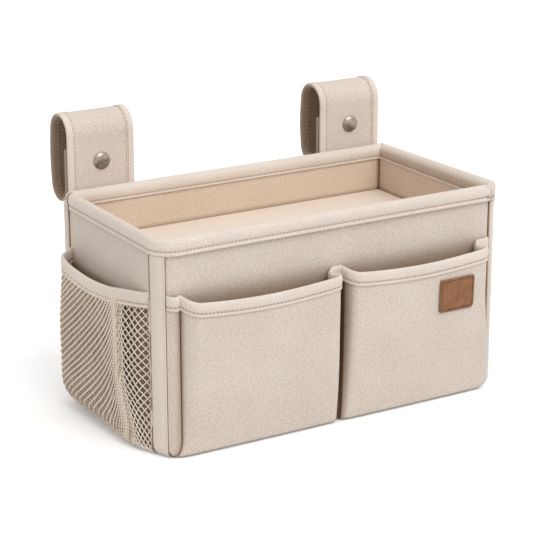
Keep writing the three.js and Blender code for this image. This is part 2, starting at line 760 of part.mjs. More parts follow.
// Places on the strap's middle line, in the plane across its width: y back, z up.
const strapMiddleX = halfWidth - strapFromEnd;
const strapTop = boxHeight + strapRise;
const strapFoot = boxHeight - strapSewnDrop;
const strapLoopBottom = boxHeight - strapLoopDrop;
const studHeight = boxHeight + studRise;
const strapTailTop = studHeight + tailPastStud;
const strapHalf = webThickness / 2 + sewnGap + strapTape; // half the strap's thickness at its bound edges
const legY = halfDepth + sewnGap + strapHalf;
const archRadius = strapLoopDepth / 2 - strapHalf;
const archY = legY + archRadius;
const archZ = strapTop - strapHalf - archRadius;
const tailBackY = archY + archRadius;
const tailFrontY = legY + 2 * strapHalf + snapRoom;
const curlRadius = (tailBackY - tailFrontY) / 2;
const curlZ = strapLoopBottom + strapHalf + curlRadius;

// Frames along a path of the strap, across its width and out from its outer face.
function strapFrames(middleX, path) {
  const places = path.getPoints(strapArcSteps);
  const points = places.filter((point, i) => i === 0 || !point.equals(places[i - 1]));
  const last = points.length - 1;
  return points.map((point, i) => {
    const between = () => points[i + 1].clone().sub(points[i - 1]).normalize();
    const tangent = i === 0 || i === last ? path.getTangent(i / last) : between();
    return {
      origin: new THREE.Vector3(middleX, point.x, point.y),
      across: new THREE.Vector3(1, 0, 0),
      up: new THREE.Vector3(0, -tangent.y, tangent.x),
    };
  });
}

// The front leg: up behind the back panel and over the first half of the arch.
function legPath() {
  const path = new THREE.Path();
  path.moveTo(legY, strapFoot);
  path.lineTo(legY, archZ);
  path.absarc(archY, archZ, archRadius, Math.PI, Math.PI / 2 + hingeGap / 2 / archRadius, true);
  return path;
}

// The tail: the other half of the arch, down the back, round the curl and up behind the leg.
function tailPath() {
  const path = new THREE.Path();
  const start = Math.PI / 2 - hingeGap / 2 / archRadius;
  path.absarc(archY, archZ, archRadius, start, 0, true);
  path.quadraticCurveTo(tailBackY + 2 * strapBow, (archZ + curlZ) / 2, tailBackY, curlZ);
  path.absarc(tailFrontY + curlRadius, curlZ, curlRadius, 0, -Math.PI, true);
  path.lineTo(tailFrontY, strapTailTop);
  return path;
}

// The tape folded over one edge of the strap, as a section across its width.
function edgeTapeSection(sign) {
  const edge = strapWidth / 2;
  const inner = strapHalf - strapTape;
  return [
    [edge, -strapHalf],
    [edge, strapHalf],
    [edge - strapTapeWidth, strapHalf],
    [edge - strapTapeWidth, inner],
    [edge - strapTape, inner],
    [edge - strapTape, -inner],
    [edge - strapTapeWidth, -inner],
    [edge - strapTapeWidth, -strapHalf],
  ].map(([x, y]) => new THREE.Vector2(sign * x, y));
}

function webSection() {
  const x = strapWidth / 2 - strapTape - sewnGap;
  const y = webThickness / 2;
  return [[-x, -y], [x, -y], [x, y], [-x, y]].map(([a, b]) => new THREE.Vector2(a, b));
}

// A turned piece on a line along +Y, from its profile of radii and places along the line.
function turned(profile, middleX, y) {
  const outline = profile.map(([radius, place]) => new THREE.Vector2(radius, place));
  return new THREE.LatheGeometry(outline, roundSegments).translate(middleX, y, studHeight);
}

// The web of the strap, with a hole for the shank of its press stud.
function webAlong(frames, middleX, y) {
  const radius = shankDiameter / 2 + sewnGap;
  const hole = new THREE.CylinderGeometry(radius, radius, 2 * strapHalf, roundSegments);
  hole.translate(middleX, y, studHeight);
  return solidOf(sweep(webSection(), frames)).subtract(solidOf(hole));
}

function addStraps() {
  for (const [side, middleX] of [["left", -strapMiddleX], ["right", strapMiddleX]]) {
    const name = side + "_strap_";
    const leg = strapFrames(middleX, legPath());
    const tail = strapFrames(middleX, tailPath());
    addPiece(name + "leg", webAlong(leg, middleX, legY), cream);
    addPiece(name + "tail", webAlong(tail, middleX, tailFrontY), cream);
    for (const [edge, sign] of [["left", -1], ["right", 1]]) {
      addPiece(name + "leg_tape_" + edge, sweep(edgeTapeSection(sign), leg), creamTape);
      addPiece(name + "tail_tape_" + edge, sweep(edgeTapeSection(sign), tail), creamTape);
    }
    addPressStud(name, middleX);
  }
}

// A press stud: a domed cap and a socket on the leg, a stud and a post on the tail.
function addPressStud(name, middleX) {
  const shank = shankDiameter / 2;
  const legFront = legY - webThickness / 2;
  const legBack = legY + webThickness / 2;
  const tailFront = tailFrontY - webThickness / 2;
  const tailBack = tailFrontY + webThickness / 2;
  const cap = capDiameter / 2;
  const dome = domeShares.map(([radius, rise]) => [cap * radius, -capEdge - capDome * rise]);
  const capShank = webThickness + sewnGap;
  const capProfile = [...dome, [cap, 0], [shank, 0], [shank, capShank], [0, capShank]];
  addPiece(name + "snap_cap", turned(capProfile, middleX, legFront - sewnGap), antiqueNickel);

  const socket = socketDiameter / 2;
  const bore = socketBore / 2;
  const floor = socketDepth - studReach - 2 * sewnGap;
  const socketProfile = [
    [0, 0], [socket, 0], [socket, socketDepth],
    [bore, socketDepth], [bore, floor], [0, floor],
  ];
  addPiece(name + "snap_socket", turned(socketProfile, middleX, legBack + sewnGap), antiqueNickel);

  const flange = studFlange / 2;
  const nub = studNub / 2;
  const tip = legBack + sewnGap + socketDepth - studReach;
  const flangeBack = tailFront - sewnGap;
  const nubLength = flangeBack - tip;
  const studProfile = [
    [0, -nubLength], [nub, -nubLength], [nub, -studFlangeThickness],
    [flange, -studFlangeThickness], [flange, 0], [0, 0],
  ];
  addPiece(name + "snap_stud", turned(studProfile, middleX, flangeBack), antiqueNickel);

  const post = postDiameter / 2;
  const shankEnd = -webThickness - sewnGap;
  const postProfile = [
    [0, shankEnd], [shank, shankEnd], [shank, 0],
    [post, 0], [post, postThickness], [0, postThickness],
  ];
  addPiece(name + "snap_post", turned(postProfile, middleX, tailBack + sewnGap), antiqueNickel);
}

addWalls();
addRim();
addCornerBindings();
addFloor();
addFrontPockets();
addNetPocket();
addStraps();

export default caddy;
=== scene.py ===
# Bedside caddy: fabric, tape, net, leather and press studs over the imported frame.
import math

import bpy
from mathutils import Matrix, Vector, noise


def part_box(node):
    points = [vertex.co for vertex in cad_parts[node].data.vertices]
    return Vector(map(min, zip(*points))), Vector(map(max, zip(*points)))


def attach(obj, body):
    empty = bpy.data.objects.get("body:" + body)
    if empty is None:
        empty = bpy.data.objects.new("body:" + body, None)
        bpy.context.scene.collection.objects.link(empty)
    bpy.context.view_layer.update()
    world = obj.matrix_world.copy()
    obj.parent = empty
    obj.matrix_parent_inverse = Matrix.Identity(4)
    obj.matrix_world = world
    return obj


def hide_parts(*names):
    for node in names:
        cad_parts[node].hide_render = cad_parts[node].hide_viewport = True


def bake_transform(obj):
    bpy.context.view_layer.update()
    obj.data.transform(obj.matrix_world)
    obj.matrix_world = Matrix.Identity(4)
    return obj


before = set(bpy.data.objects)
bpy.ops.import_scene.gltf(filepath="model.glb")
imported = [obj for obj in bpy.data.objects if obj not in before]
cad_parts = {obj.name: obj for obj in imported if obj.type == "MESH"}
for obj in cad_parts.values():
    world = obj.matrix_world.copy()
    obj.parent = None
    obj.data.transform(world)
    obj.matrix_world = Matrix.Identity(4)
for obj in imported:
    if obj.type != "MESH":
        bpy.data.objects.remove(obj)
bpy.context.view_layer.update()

mm = 0.001  # settings below are in millimetres, and meshes are in metres


# Basic tools

def makeActive(piece):
    bpy.ops.object.select_all(action="DESELECT")
    piece.select_set(True)
    bpy.context.view_layer.objects.active = piece


def startPiece(name, addShape, **options):
    bpy.ops.object.select_all(action="DESELECT")
    addShape(**options)
    piece = bpy.context.object
    piece.name = piece.data.name = name
    return piece


def faceOutward(piece, closed=False):
    makeActive(piece)
    bpy.ops.object.mode_set(mode="EDIT")
    bpy.ops.mesh.select_all(action="SELECT")
    if closed:  # a band's seam and ends are joined up first
        bpy.ops.mesh.remove_doubles(threshold=0.01 * mm)
        bpy.ops.mesh.fill_holes(sides=0)
        bpy.ops.mesh.select_all(action="SELECT")
    bpy.ops.mesh.normals_make_consistent(inside=False)
    bpy.ops.object.mode_set(mode="OBJECT")


def setShade(piece, values):
    mesh = piece.data
    shade = mesh.attributes.get("shade") or mesh.attributes.new("shade", "FLOAT", "POINT")
    shade.data.foreach_set("value", values)


def runOf(line):  # distance travelled at each point of a line
    run = [0.0]
    for before, after in zip(line, line[1:]):
        run.append(run[-1] + (after - before).length)
    return run


# A grid of cloth: place(u, v) gives each point in mm, with its shade as a fourth number if it has one.
def clothGrid(name, columns, rows, place):
    piece = startPiece(name, bpy.ops.mesh.primitive_grid_add, x_subdivisions=columns, y_subdivisions=rows,
                       size=1)
    mesh = piece.data
    spots, shades, cells = {}, [], []
    for vertex in mesh.vertices:
        u, v = vertex.co.x + 0.5, vertex.co.y + 0.5
        spot = place(u, v)
        cells.append((round(u * columns), round(v * rows)))
        spots[cells[-1]] = Vector(spot[:3]) * mm
        shades.append(spot[3] if len(spot) > 3 else 1.0)
    mesh.vertices.foreach_set("co", [value for cell in cells for value in spots[cell]])
    setShade(piece, shades)
    # The weave follows the cloth at its flat size, measured along its middle row and column.
    wide = runOf([spots[i, rows // 2] for i in range(columns + 1)])
    high = runOf([spots[columns // 2, j] for j in range(rows + 1)])
    weave = mesh.uv_layers[0]
    weave.name = "clothPlan"
    for loop, corner in zip(mesh.loops, weave.data):
        column, row = cells[loop.vertex_index]
        corner.uv = (wide[column], high[row])
    mesh.update()
    return piece


def modified(piece, kind, **options):
    modifier = piece.modifiers.new(kind.lower(), kind)
    for key, value in options.items():
        setattr(modifier, key, value)
    makeActive(piece)
    bpy.ops.object.modifier_apply(modifier=modifier.name)


def thicken(piece, thickness, offset=-1):
    modified(piece, "SOLIDIFY", thickness=thickness * mm, offset=offset)


def finishPiece(piece, material, *nodes, body="caddy", angle=40):
    makeActive(piece)
    bpy.ops.object.shade_smooth_by_angle(angle=math.radians(angle))
    piece.data.materials.clear()
    piece.data.materials.append(material)
    if body:  # fabric over a hinge is left without a body here
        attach(piece, body)
    if nodes:
        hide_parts(*nodes)


def clothSheet(name, columns, rows, place, thickness, material, *nodes, offset=-1, angle=40):
    piece = clothGrid(name, columns, rows, place)
    thicken(piece, thickness, offset)
    finishPiece(piece, material, *nodes, angle=angle)


# A padded or folded band: spotAt(u, *corner) carries each corner of a closed section along it.
def closedBand(name, columns, section, spotAt, material, *nodes, **finish):
    count = len(section)
    piece = clothGrid(name, columns, count, lambda u, v: spotAt(u, *section[round(v * count) % count]))
    faceOutward(piece, closed=True)
    finishPiece(piece, material, *nodes, **finish)
    return piece


# A band whose section of (out, up, shade) is swept along frameAt(u).
def sweptBand(name, columns, frameAt, section, material, *nodes, **finish):
    frames = [frameAt(i / columns) for i in range(columns + 1)]

    def spotAt(u, out, up, shade):
        origin, outward, rise, tuck, *dim = frames[round(u * columns)]
        return (*(origin + outward * out * tuck + rise * up), shade * (dim[0] if dim else 1))

    closedBand(name, columns, section, spotAt, material, *nodes, **finish)


# Small stitches along a seam: places are (point, direction, outward) in mm, joined into one piece.
threadLook = {"length": 2.3, "width": 0.6, "height": 0.42, "sides": 6, "rings": 4}


def stitchRow(name, places, material, look=threadLook, body="caddy"):
    piece = startPiece(name, bpy.ops.mesh.primitive_uv_sphere_add, segments=look["sides"],
                       ring_count=look["rings"], radius=0.5 * mm)
    shape = [Vector((v.co.z * look["length"], v.co.x * look["width"], v.co.y * look["height"]))
             for v in piece.data.vertices]
    sides = [list(polygon.vertices) for polygon in piece.data.polygons]
    points, faces = [], []
    for point, direction, outward in places:
        direction = direction.normalized()
        outward = (outward - direction * outward.dot(direction)).normalized()
        across = outward.cross(direction)
        base = len(points)
        for corner in shape:
            points.append(point * mm + direction * corner.x + across * corner.y + outward * corner.z)
        faces += [[base + i for i in side] for side in sides]
    stitches = bpy.data.meshes.new(name)
    stitches.from_pydata(points, [], faces)
    piece.data = stitches
    faceOutward(piece)
    setShade(piece, [1.0] * len(points))
    finishPiece(piece, material, body=body)
    return piece


# Even places along a line of frames, from pointAt(t) in mm.
def alongSeam(pointAt, outwardAt, start, end, pitch, samples=400):
    line = [pointAt(start + (end - start) * i / samples) for i in range(samples + 1)]
    travelled, nextStitch, places = 0.0, pitch / 2, []
    for i in range(samples):
        step = (line[i + 1] - line[i]).length
        while travelled + step > nextStitch and step > 0:
            share = (nextStitch - travelled) / step
            point = line[i].lerp(line[i + 1], share)
            t = start + (end - start) * (i + share) / samples
            places.append((point, line[i + 1] - line[i], outwardAt(t)))
            nextStitch += pitch
        travelled += step
    return places


def clamp(value, low=0.0, high=1.0):
    return min(max(value, low), high)


def smoothStep(value):
    value = clamp(value)
    return value * value * (3 - 2 * value)


def fades(distance, width):  # 1 on a line, falling to 0 within a width of it
    return 1 - smoothStep(distance / width)


# A place beside a curve in plan, and the way the curve faces there.
def besideCurve(curveAt, share, step, lift):
    (along, out), before, after = curveAt(share), curveAt(share - step), curveAt(share + step)
    tangent = Vector((after[0] - before[0], after[1] - before[1]))
    outward = Vector((-tangent.y, tangent.x)).normalized() if tangent.length > 1e-6 else Vector((0, 1))
    return along + outward.x * lift, out + outward.y * lift, outward


def ripple(x, y, z, size):
    return noise.noise(Vector((x, y, z)) / size)


def signOf(side):
    return -1 if side.lower() in ("left", "front") else 1


# Finishes

# A shader node: each input is a value or another node's output.
def addNode(tree, kind, inputs={}, **settings):
    node = tree.nodes.new("ShaderNode" + kind)
    for key, value in settings.items():
        setattr(node, key, value)
    for key, value in inputs.items():
        if isinstance(value, bpy.types.NodeSocket):
            tree.links.new(value, node.inputs[key])
        else:
            node.inputs[key].default_value = value
    return node


def shaderOf(name, colour, roughness, sheen=0.0, metallic=0.0, specular=0.25):
    material = bpy.data.materials.new(name)
    material.use_nodes = True
    shader = material.node_tree.nodes["Principled BSDF"]
    looks = {"Base Color": (*colour, 1), "Roughness": roughness, "Metallic": metallic, "Sheen Weight": sheen,
             "Sheen Roughness": 0.5, "Specular IOR Level": specular}
    for key, value in looks.items():
        shader.inputs[key].default_value = value
    return material, shader


def linear(red, green, blue):
    return [((c / 255 + 0.055) / 1.055) ** 2.4 if c > 10 else c / 255 / 12.92 for c in (red, green, blue)]


# Ribs of a cross-grained cloth: uneven fine bands along one diagonal of the cloth's plan.
def grainRibs(tree, plan, angle, pitch, waver):
    turned = addNode(tree, "Mapping", {"Vector": plan, "Rotation": (0, 0, math.radians(angle))})
    return addNode(tree, "TexWave", {
        "Vector": turned.outputs["Vector"], "Scale": math.pi / 10 / (pitch * mm), "Distortion": waver,
        "Detail": 2.0, "Detail Scale": 1.6, "Detail Roughness": 0.6}).outputs["Fac"]


def objectNoise(tree, scale, detail):
    spot = addNode(tree, "TexCoord").outputs["Object"]
    return addNode(tree, "TexNoise", {"Vector": spot, "Scale": scale, "Detail": detail}).outputs["Fac"]


def mixOf(tree, first, second, share):
    return addNode(tree, "Mix", {"Factor": share, "A": first, "B": second}).outputs["Result"]


def toneOf(tree, value, look, start=0.3, end=0.7):
    tone = addNode(tree, "ValToRGB", {"Fac": value})
    first, last = tone.color_ramp.elements
    first.position, last.position = start, end
    first.color, last.color = (*linear(*look["dark"]), 1), (*linear(*look["light"]), 1)
    return tone.outputs["Color"]


def shadeOf(tree):
    return addNode(tree, "Attribute", attribute_name="shade").outputs["Fac"]


def paintOn(tree, shader, colour, shade):
    paint = addNode(tree, "MixRGB", {"Fac": 1.0, "Color1": colour, "Color2": shade}, blend_type="MULTIPLY")
    tree.links.new(paint.outputs["Color"], shader.inputs["Base Color"])


def bumpOn(tree, shader, height, strength, depth):
    bump = addNode(tree, "Bump", {"Height": height, "Strength": strength, "Distance": depth * mm})
    tree.links.new(bump.outputs["Normal"], shader.inputs["Normal"])


# tints of the painted shade, from the darkest up
paintedShadeTones = ((0.0, (0.03, 0.014, 0.006)), (0.3, (0.2, 0.127, 0.08)), (0.6, (0.53, 0.44, 0.365)))
clouds = {"scale": 22, "detail": 2, "low": 0.3, "high": 0.7}  # slow changes of colour over the cloth
slubShare = 0.34


def fabricFinish(name, look):
    material, shader = shaderOf(name, linear(*look["colour"]), look["roughness"], look["sheen"])
    tree = material.node_tree
    plan = addNode(tree, "UVMap", uv_map="clothPlan").outputs["UV"]
    falling = grainRibs(tree, plan, -look["angle"], look["rib"], look["waver"])
    rising = grainRibs(tree, plan, look["angle"], look["rib"] * 0.8, look["waver"])
    slubs = addNode(tree, "TexNoise", {"Vector": plan, "Scale": 1 / (look["slub"] * mm), "Detail": 3.0},
                    noise_dimensions="2D").outputs["Fac"]
    grain = mixOf(tree, mixOf(tree, falling, rising, look["crossShare"]), slubs, slubShare)
    cloudy = addNode(tree, "MapRange", {
        "Value": objectNoise(tree, clouds["scale"], clouds["detail"]), "From Min": clouds["low"],
        "From Max": clouds["high"], "To Min": 1 - look["cloud"], "To Max": 1.0})
    dim = addNode(tree, "Math", {0: shadeOf(tree), 1: cloudy.outputs["Result"]}, operation="MULTIPLY")
    warm = addNode(tree, "ValToRGB", {"Fac": dim.outputs[0]})  # painted shade in folds and seams goes warmer as it goes darker
    warm.color_ramp.elements[0].color = (*paintedShadeTones[0][1], 1)
    warm.color_ramp.elements[1].color = (1, 1, 1, 1)
    for position, tint in paintedShadeTones[1:]:
        warm.color_ramp.elements.new(position).color = (*tint, 1)
    paintOn(tree, shader, toneOf(tree, grain, look, 0.28, 0.72), warm.outputs["Color"])
    bumpOn(tree, shader, grain, look["bump"], 0.3)
    return material


# Leather, metal and board: mottled between two tones.
def mottledFinish(name, look, shaded=True):
    material, shader = shaderOf(name, linear(*look["colour"]), look["roughness"], metallic=look["metallic"],
                                specular=look["specular"])
    tree = material.node_tree
    mottle = height = objectNoise(tree, look["scale"], look["detail"])
    if look["pores"]:
        spot = addNode(tree, "TexCoord").outputs["Object"]
        pores = addNode(tree, "TexVoronoi", {"Vector": spot, "Scale": look["pores"]}, feature="SMOOTH_F1")
        height = mixOf(tree, pores.outputs["Distance"], mottle, 0.4)
    tone = toneOf(tree, mottle, look, 0.3, look["lightFrom"])
    if shaded:
        paintOn(tree, shader, tone, shadeOf(tree))
    else:
        tree.links.new(tone, shader.inputs["Base Color"])
    bumpOn(tree, shader, height, look["bump"], look["depth"])
    return material


fabricKeys = ("colour", "dark", "light", "roughness", "sheen", "angle", "rib", "waver", "slub", "crossShare",
              "cloud", "bump")
fabricLooks = {
    "outerCloth": ((214, 201, 189), (190, 174, 161), (237, 227, 217), 0.8, 0.15,
                   42, 1.4, 2.6, 2.4, 0.36, 0.05, 0.5),
    "tapeCloth": ((229, 217, 206), (205, 189, 175), (243, 234, 226), 0.75, 0.15,
                  42, 1.4, 2.4, 1.8, 0.42, 0.06, 0.55),
    "liningCloth": ((219, 200, 182), (202, 179, 157), (233, 216, 199), 0.8, 0.1,
                    48, 1.8, 3.2, 2.0, 0.25, 0.04, 0.35),
    "floorCloth": ((236, 222, 207), (232, 218, 203), (239, 226, 212), 0.7, 0.1,
                   45, 1.2, 1.5, 2.5, 0.5, 0.03, 0.1),
    # a darker cloth inside the strap loops: partly lining colour and partly painted shade
    "loopShadeCloth": ((150, 128, 106), (138, 115, 93), (162, 141, 119), 0.85, 0.1,
                    45, 1.8, 1.5, 1.6, 0.5, 0.04, 0.35),
    "netCord": ((254, 243, 227), (242, 224, 203), (255, 251, 242), 0.8, 0.1,
                45, 0.8, 1.0, 1.0, 0.5, 0.06, 0.2),
}
mottledKeys = ("colour", "dark", "light", "lightFrom", "roughness", "metallic", "specular", "scale", "detail",
               "pores", "bump", "depth")
mottledLooks = {
    "leather": ((146, 102, 72), (126, 84, 55), (152, 107, 74),
                0.72, 0.62, 0, 0.3, 160, 5, 1400, 0.35, 0.15),
    "antiqueNickel": ((150, 140, 125), (158, 148, 134), (178, 169, 156),
                      0.7, 0.3, 1, 0.5, 260, 4, 0, 0.05, 0.1),
    "greyBoard": ((140, 128, 115), (124, 112, 99), (152, 141, 128),
                  0.7, 0.9, 0, 0.25, 650, 6, 0, 0.3, 0.1),
}
outerCloth, tapeCloth, liningCloth, floorCloth, loopShadeCloth, netCord = [
    fabricFinish(name, dict(zip(fabricKeys, look))) for name, look in fabricLooks.items()]
leatherCloth, nickel, greyBoard = [
    mottledFinish(name, dict(zip(mottledKeys, look)), name != "greyBoard")
    for name, look in mottledLooks.items()]
threadFinish, _ = shaderOf("thread", linear(226, 211, 193), 0.6, sheen=0.2)
patchThread, _ = shaderOf("patchThread", linear(66, 40, 24), 0.6, sheen=0.1)
print("finishes made")


# Camera, light and floor

cameraView = {
    "place": (-0.82148, -1.36119, 0.62892),
    "turn": (1.25717842, 0.00228515, -0.53648277),
    "lens": 131.945,
}
studio = {
    "worldLight": 0.79, "sunLight": 0.8, "sunSpread": 50, "sunFrom": (0.08, -0.6, 0.79),
    "floorSize": 14, "floorSeen": 1.0, "floorLight": 0.8, "floorGlow": 0.12, "floorGap": 0.4,
}


def addCamera():
    bpy.ops.object.camera_add(location=cameraView["place"], rotation=cameraView["turn"])
    camera = bpy.context.object
    camera.data.lens = cameraView["lens"]
    camera.data.sensor_width = 36
    bpy.context.scene.camera = camera


# 1 for rays from the camera, and for those that metal mirrors.
def rayIsSeen(tree):
    rays = addNode(tree, "LightPath").outputs
    mirrored = addNode(tree, "Math", {0: rays["Is Glossy Ray"], 1: rays["Is Transmission Ray"]},
                       operation="MAXIMUM")
    seen = addNode(tree, "Math", {0: rays["Is Camera Ray"], 1: mirrored.outputs[0]}, operation="MAXIMUM")
    return seen.outputs[0]


def addLights():
    world = bpy.context.scene.world or bpy.data.worlds.new("studio")
    bpy.context.scene.world = world
    world.use_nodes = True
    tree = world.node_tree
    tree.nodes.clear()
    light = addNode(tree, "Background", {"Color": (1, 0.995, 0.99, 1), "Strength": studio["worldLight"]})
    backdrop = addNode(tree, "Background", {"Color": (1, 1, 1, 1)})
    either = addNode(tree, "MixShader", {0: rayIsSeen(tree), 1: light.outputs[0], 2: backdrop.outputs[0]})
    addNode(tree, "OutputWorld", {"Surface": either.outputs[0]})

    aim = Vector(studio["sunFrom"]).to_track_quat("Z", "Y").to_euler()
    bpy.ops.object.light_add(type="SUN", location=(0, 0, 2), rotation=aim)
    sun = bpy.context.object.data
    sun.energy = studio["sunLight"] * math.pi / 2
    sun.angle = math.radians(studio["sunSpread"])
    sun.color = (1, 0.99, 0.98)


def addFloorPlane():
    floor = startPiece("studioFloor", bpy.ops.mesh.primitive_plane_add, size=studio["floorSize"],
                       location=(0, 0, -studio["floorGap"] * mm))
    material, shader = shaderOf("studioFloor", (0.8, 0.8, 0.8), 1.0, specular=0)
    tree = material.node_tree
    # White where it is seen, and a plain grey as a source of light.
    paint = addNode(tree, "MixRGB", {"Fac": rayIsSeen(tree), "Color1": (*[studio["floorLight"]] * 3, 1),
                                     "Color2": (*[studio["floorSeen"]] * 3, 1)})
    tree.links.new(paint.outputs["Color"], shader.inputs["Base Color"])
    tree.links.new(rayIsSeen(tree), shader.inputs["Emission Color"])
    shader.inputs["Emission Strength"].default_value = studio["floorGlow"]
    floor.data.materials.append(material)


addCamera()
addLights()
addFloorPlane()
bpy.context.scene.view_settings.view_transform = "Standard"
print("camera, light and floor placed")


# The box: outer panels, linings and the tape over its corners

halfWide, halfDeep, panelTop = 160, 84, 180.5
skin = 1.2  # depth of the fabric's face below the tape's
box = {
    "frontLeft": 16, "frontRight": 4.5, "backLeft": 4.5, "backRight": 4.5,  # upright edges, in plan
    "sideFoot": 8, "backFoot": 18, "frontFoot": 3,  # lower edges
    "cloth": 0.8, "slack": 0.35, "slackSize": 45, "slackFade": 20, "slackReach": 70,
    "sideInset": 3, "rowCrowd": 1.4,  # rows of a side wall stand closer together near its top
    "arcRows": 0.18, "wallRows": 0.8, "topBand": 14,  # shares of the rows for the foot and for the wall
}
netShadow = {  # on the fabric behind the net
    "dark": 0.56, "below": 129, "topFade": 10, "middle": 4.7, "reach": 71, "sideFade": 3,
}
rimShadow = {"dark": 0.5, "from": 168.9, "fade": 0.8}
pocketShadow = {"dark": 0.38, "from": 122, "fade": 24}  # on the front panel down inside the pockets


# How far a wall at a depth curves in near the ground.
def curveIn(radius, height, depth=skin):
    outer = max(radius - depth, 0.01)
    drop = clamp(radius - height, 0.0, outer)
    return outer - math.sqrt(outer * outer - drop * drop)


# How far a front or back wall falls back beside an upright edge.
def cornerBack(x, end):
    radius = box[end + ("Left" if x < 0 else "Right")]
    outer = radius - skin
    over = clamp(abs(x) - halfWide + radius, 0.0, outer)
    return outer - math.sqrt(outer * outer - over * over)


def wallLine(end, height):
    return signOf(end) * (halfDeep - skin - curveIn(box[end + "Foot"], height))


# The box's outline seen from the front: down one side, round its foot and in under the box.
def sideOutline(travel, top, depth):
    foot = box["sideFoot"]
    if travel <= top - foot:
        return Vector((halfWide - depth, top - travel)), Vector((1, 0))
    angle = min((travel - top + foot) / (foot - depth), math.pi / 2)
    outward = Vector((math.cos(angle), -math.sin(angle)))
    return Vector((halfWide - foot, foot)) + outward * (foot - depth), outward


def outlineLength(top, depth):
    return top - box["sideFoot"] + (box["sideFoot"] - depth) * math.pi / 2


# Heights for the rows of a front or back wall, close together where its foot is rounded.
def wallHeight(v, radius):
    arc, upper, seam = box["arcRows"], box["wallRows"], panelTop - box["topBand"]
    if v < arc:
        return radius - (radius - skin) * math.cos(v / arc * math.pi / 2)
    if v < upper:
        return radius + (seam - radius) * (v - arc) / (upper - arc)
    return seam + (panelTop - seam) * (v - upper) / (1 - upper)


def netShade(y, z):
    inside = smoothStep((netShadow["below"] - z) / netShadow["topFade"])
    fromMiddle = abs(y - netShadow["middle"])
    inside *= smoothStep((netShadow["reach"] - fromMiddle) / netShadow["sideFade"])
    return 1 - netShadow["dark"] * inside


cornerTape = {
    "onSide": {"FrontLeft": 17.6, "FrontRight": 9, "BackLeft": 8, "BackRight": 8},
    "onFace": {"FrontLeft": 7, "FrontRight": 1.9, "BackLeft": 3, "BackRight": 3},
    "bead": {"FrontLeft": 0.4, "FrontRight": 4.6, "BackLeft": 3.4, "BackRight": 3.4},  # fullness of the fold
    "top": {"FrontLeft": 171, "FrontRight": 171, "BackLeft": 177, "BackRight": 171},
    "rows": 110, "cloth": 0.6, "puff": 0.1, "puffSize": 14,
    # in from the edge, depth and shade: a flat edge on the side wall, and a fine raised welt on the face
    "sideEdge": ((0, 1.3, 0.2), (0.8, 1.0, 0.22), (1.5, 0.6, 0.4), (2.0, 0.15, 0.95), (2.6, 0, 1)),
    "faceEdge": ((0, 1.35, 0.25), (0.35, 0.8, 0.3), (0.6, -0.1, 0.95), (1.0, -0.45, 1), (1.5, -0.3, 1),
                 (1.9, 0.05, 0.9), (2.4, 0, 0.98)),
}
seamLine = {  # painted shade lines beside the corner tapes
    "sideDark": 0.6, "sideHalf": 0.4, "sideFade": 0.8, "endGap": 0.5, "faceDark": 0.55, "faceFade": 0.9,
    "onFace": ((-153.4, 0.5), (158.3, 0.1)),
}


def underRim(z):  # a painted shadow line where a panel goes under the rim's edge
    return 1 - rimShadow["dark"] * smoothStep((z - rimShadow["from"]) / rimShadow["fade"])


def sidePanel(side):
    sign, name = signOf(side), side.capitalize()
    length = outlineLength(panelTop, skin)
    front = -halfDeep + box["front" + name] + seamLine["endGap"]
    back = halfDeep - box["back" + name] - seamLine["endGap"]
    tapeEdge = cornerTape["onSide"]["Front" + name] - halfDeep + 0.3

    def place(u, v):
        y = front + (back - front) * (u if side == "left" else 1 - u)
        spot, outward = sideOutline(length * v ** box["rowCrowd"], panelTop, skin)
        near, far = wallLine("front", spot.y), wallLine("back", spot.y)
        y = clamp(y, near + box["sideInset"], far - box["sideInset"])
        slack = box["slack"] * ripple(y, spot.y, 7.0 * sign, box["slackSize"])
        slack *= smoothStep((box["slackReach"] - abs(y)) / box["slackFade"])
        shade = (netShade(y, spot.y) if side == "left" else 1.0) * underRim(spot.y)
        fromTape = abs(y - tapeEdge) - seamLine["sideHalf"]
        shade *= 1 - seamLine["sideDark"] * fades(fromTape, seamLine["sideFade"])
        return sign * (spot.x + outward.x * slack), y, spot.y + outward.y * slack, shade

    clothSheet(side + "PanelCloth", 200, 70, place, box["cloth"], outerCloth, side + "_panel", offset=1)


def endPanel(end, columns, rows, gaps, seed, lean):
    sign = signOf(end)

    def place(u, v):
        z = wallHeight(v, box[end + "Foot"])
        left, right = [halfWide - gap - curveIn(box["sideFoot"], z) for gap in gaps]
        x = sign * (left - u * (left + right))
        hold = smoothStep((left - abs(x)) / box["slackFade"])
        y = wallLine(end, z) - sign * cornerBack(x, end)
        y -= sign * box["slack"] * (lean + ripple(x, z, seed, box["slackSize"])) * hold
        shade = underRim(z)
        if end == "front":
            shade *= 1 - pocketShadow["dark"] * fades(z - pocketShadow["from"], pocketShadow["fade"])
            for edge, wide in seamLine["onFace"]:
                shade *= 1 - seamLine["faceDark"] * fades(abs(x - edge) - wide, seamLine["faceFade"])
        return x, y, z, shade

    clothSheet(end + "PanelCloth", columns, rows, place, box["cloth"], outerCloth, end + "_panel")


def basePanel():
    low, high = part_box("base_panel")
    low, high = low / mm - Vector((7.5, 3.5, 0)), high / mm + Vector((7.5, 0, 0))

    def place(u, v):
        x, y = low.x + u * (high.x - low.x), high.y - v * (high.y - low.y)
        edge = min(x - low.x, high.x - x, y - low.y, high.y - y)
        return x, y, low.z + 0.35 * fades(edge, 5)

    clothSheet("basePanelCloth", 60, 36, place, high.z - low.z - 0.4, outerCloth, "base_panel")


# The lining: four tan walls with a sewn edge in each corner, and the floor under the raised one.
lining = {
    "face": 5.8, "cloth": 0.8, "foot": 6.2, "cornerShade": 0.22, "cornerFade": 1.5, "rightShade": 0.9,
    "slack": 0.4, "mostSlack": 1.1, "slackSize": 40, "slackFade": 15, "slackTop": 171, "topFade": 8,
    "underRim": 0.4, "rimLine": 170, "rimFade": 3, "floorLine": 142, "floorShade": 0.22, "floorFade": 3,
}


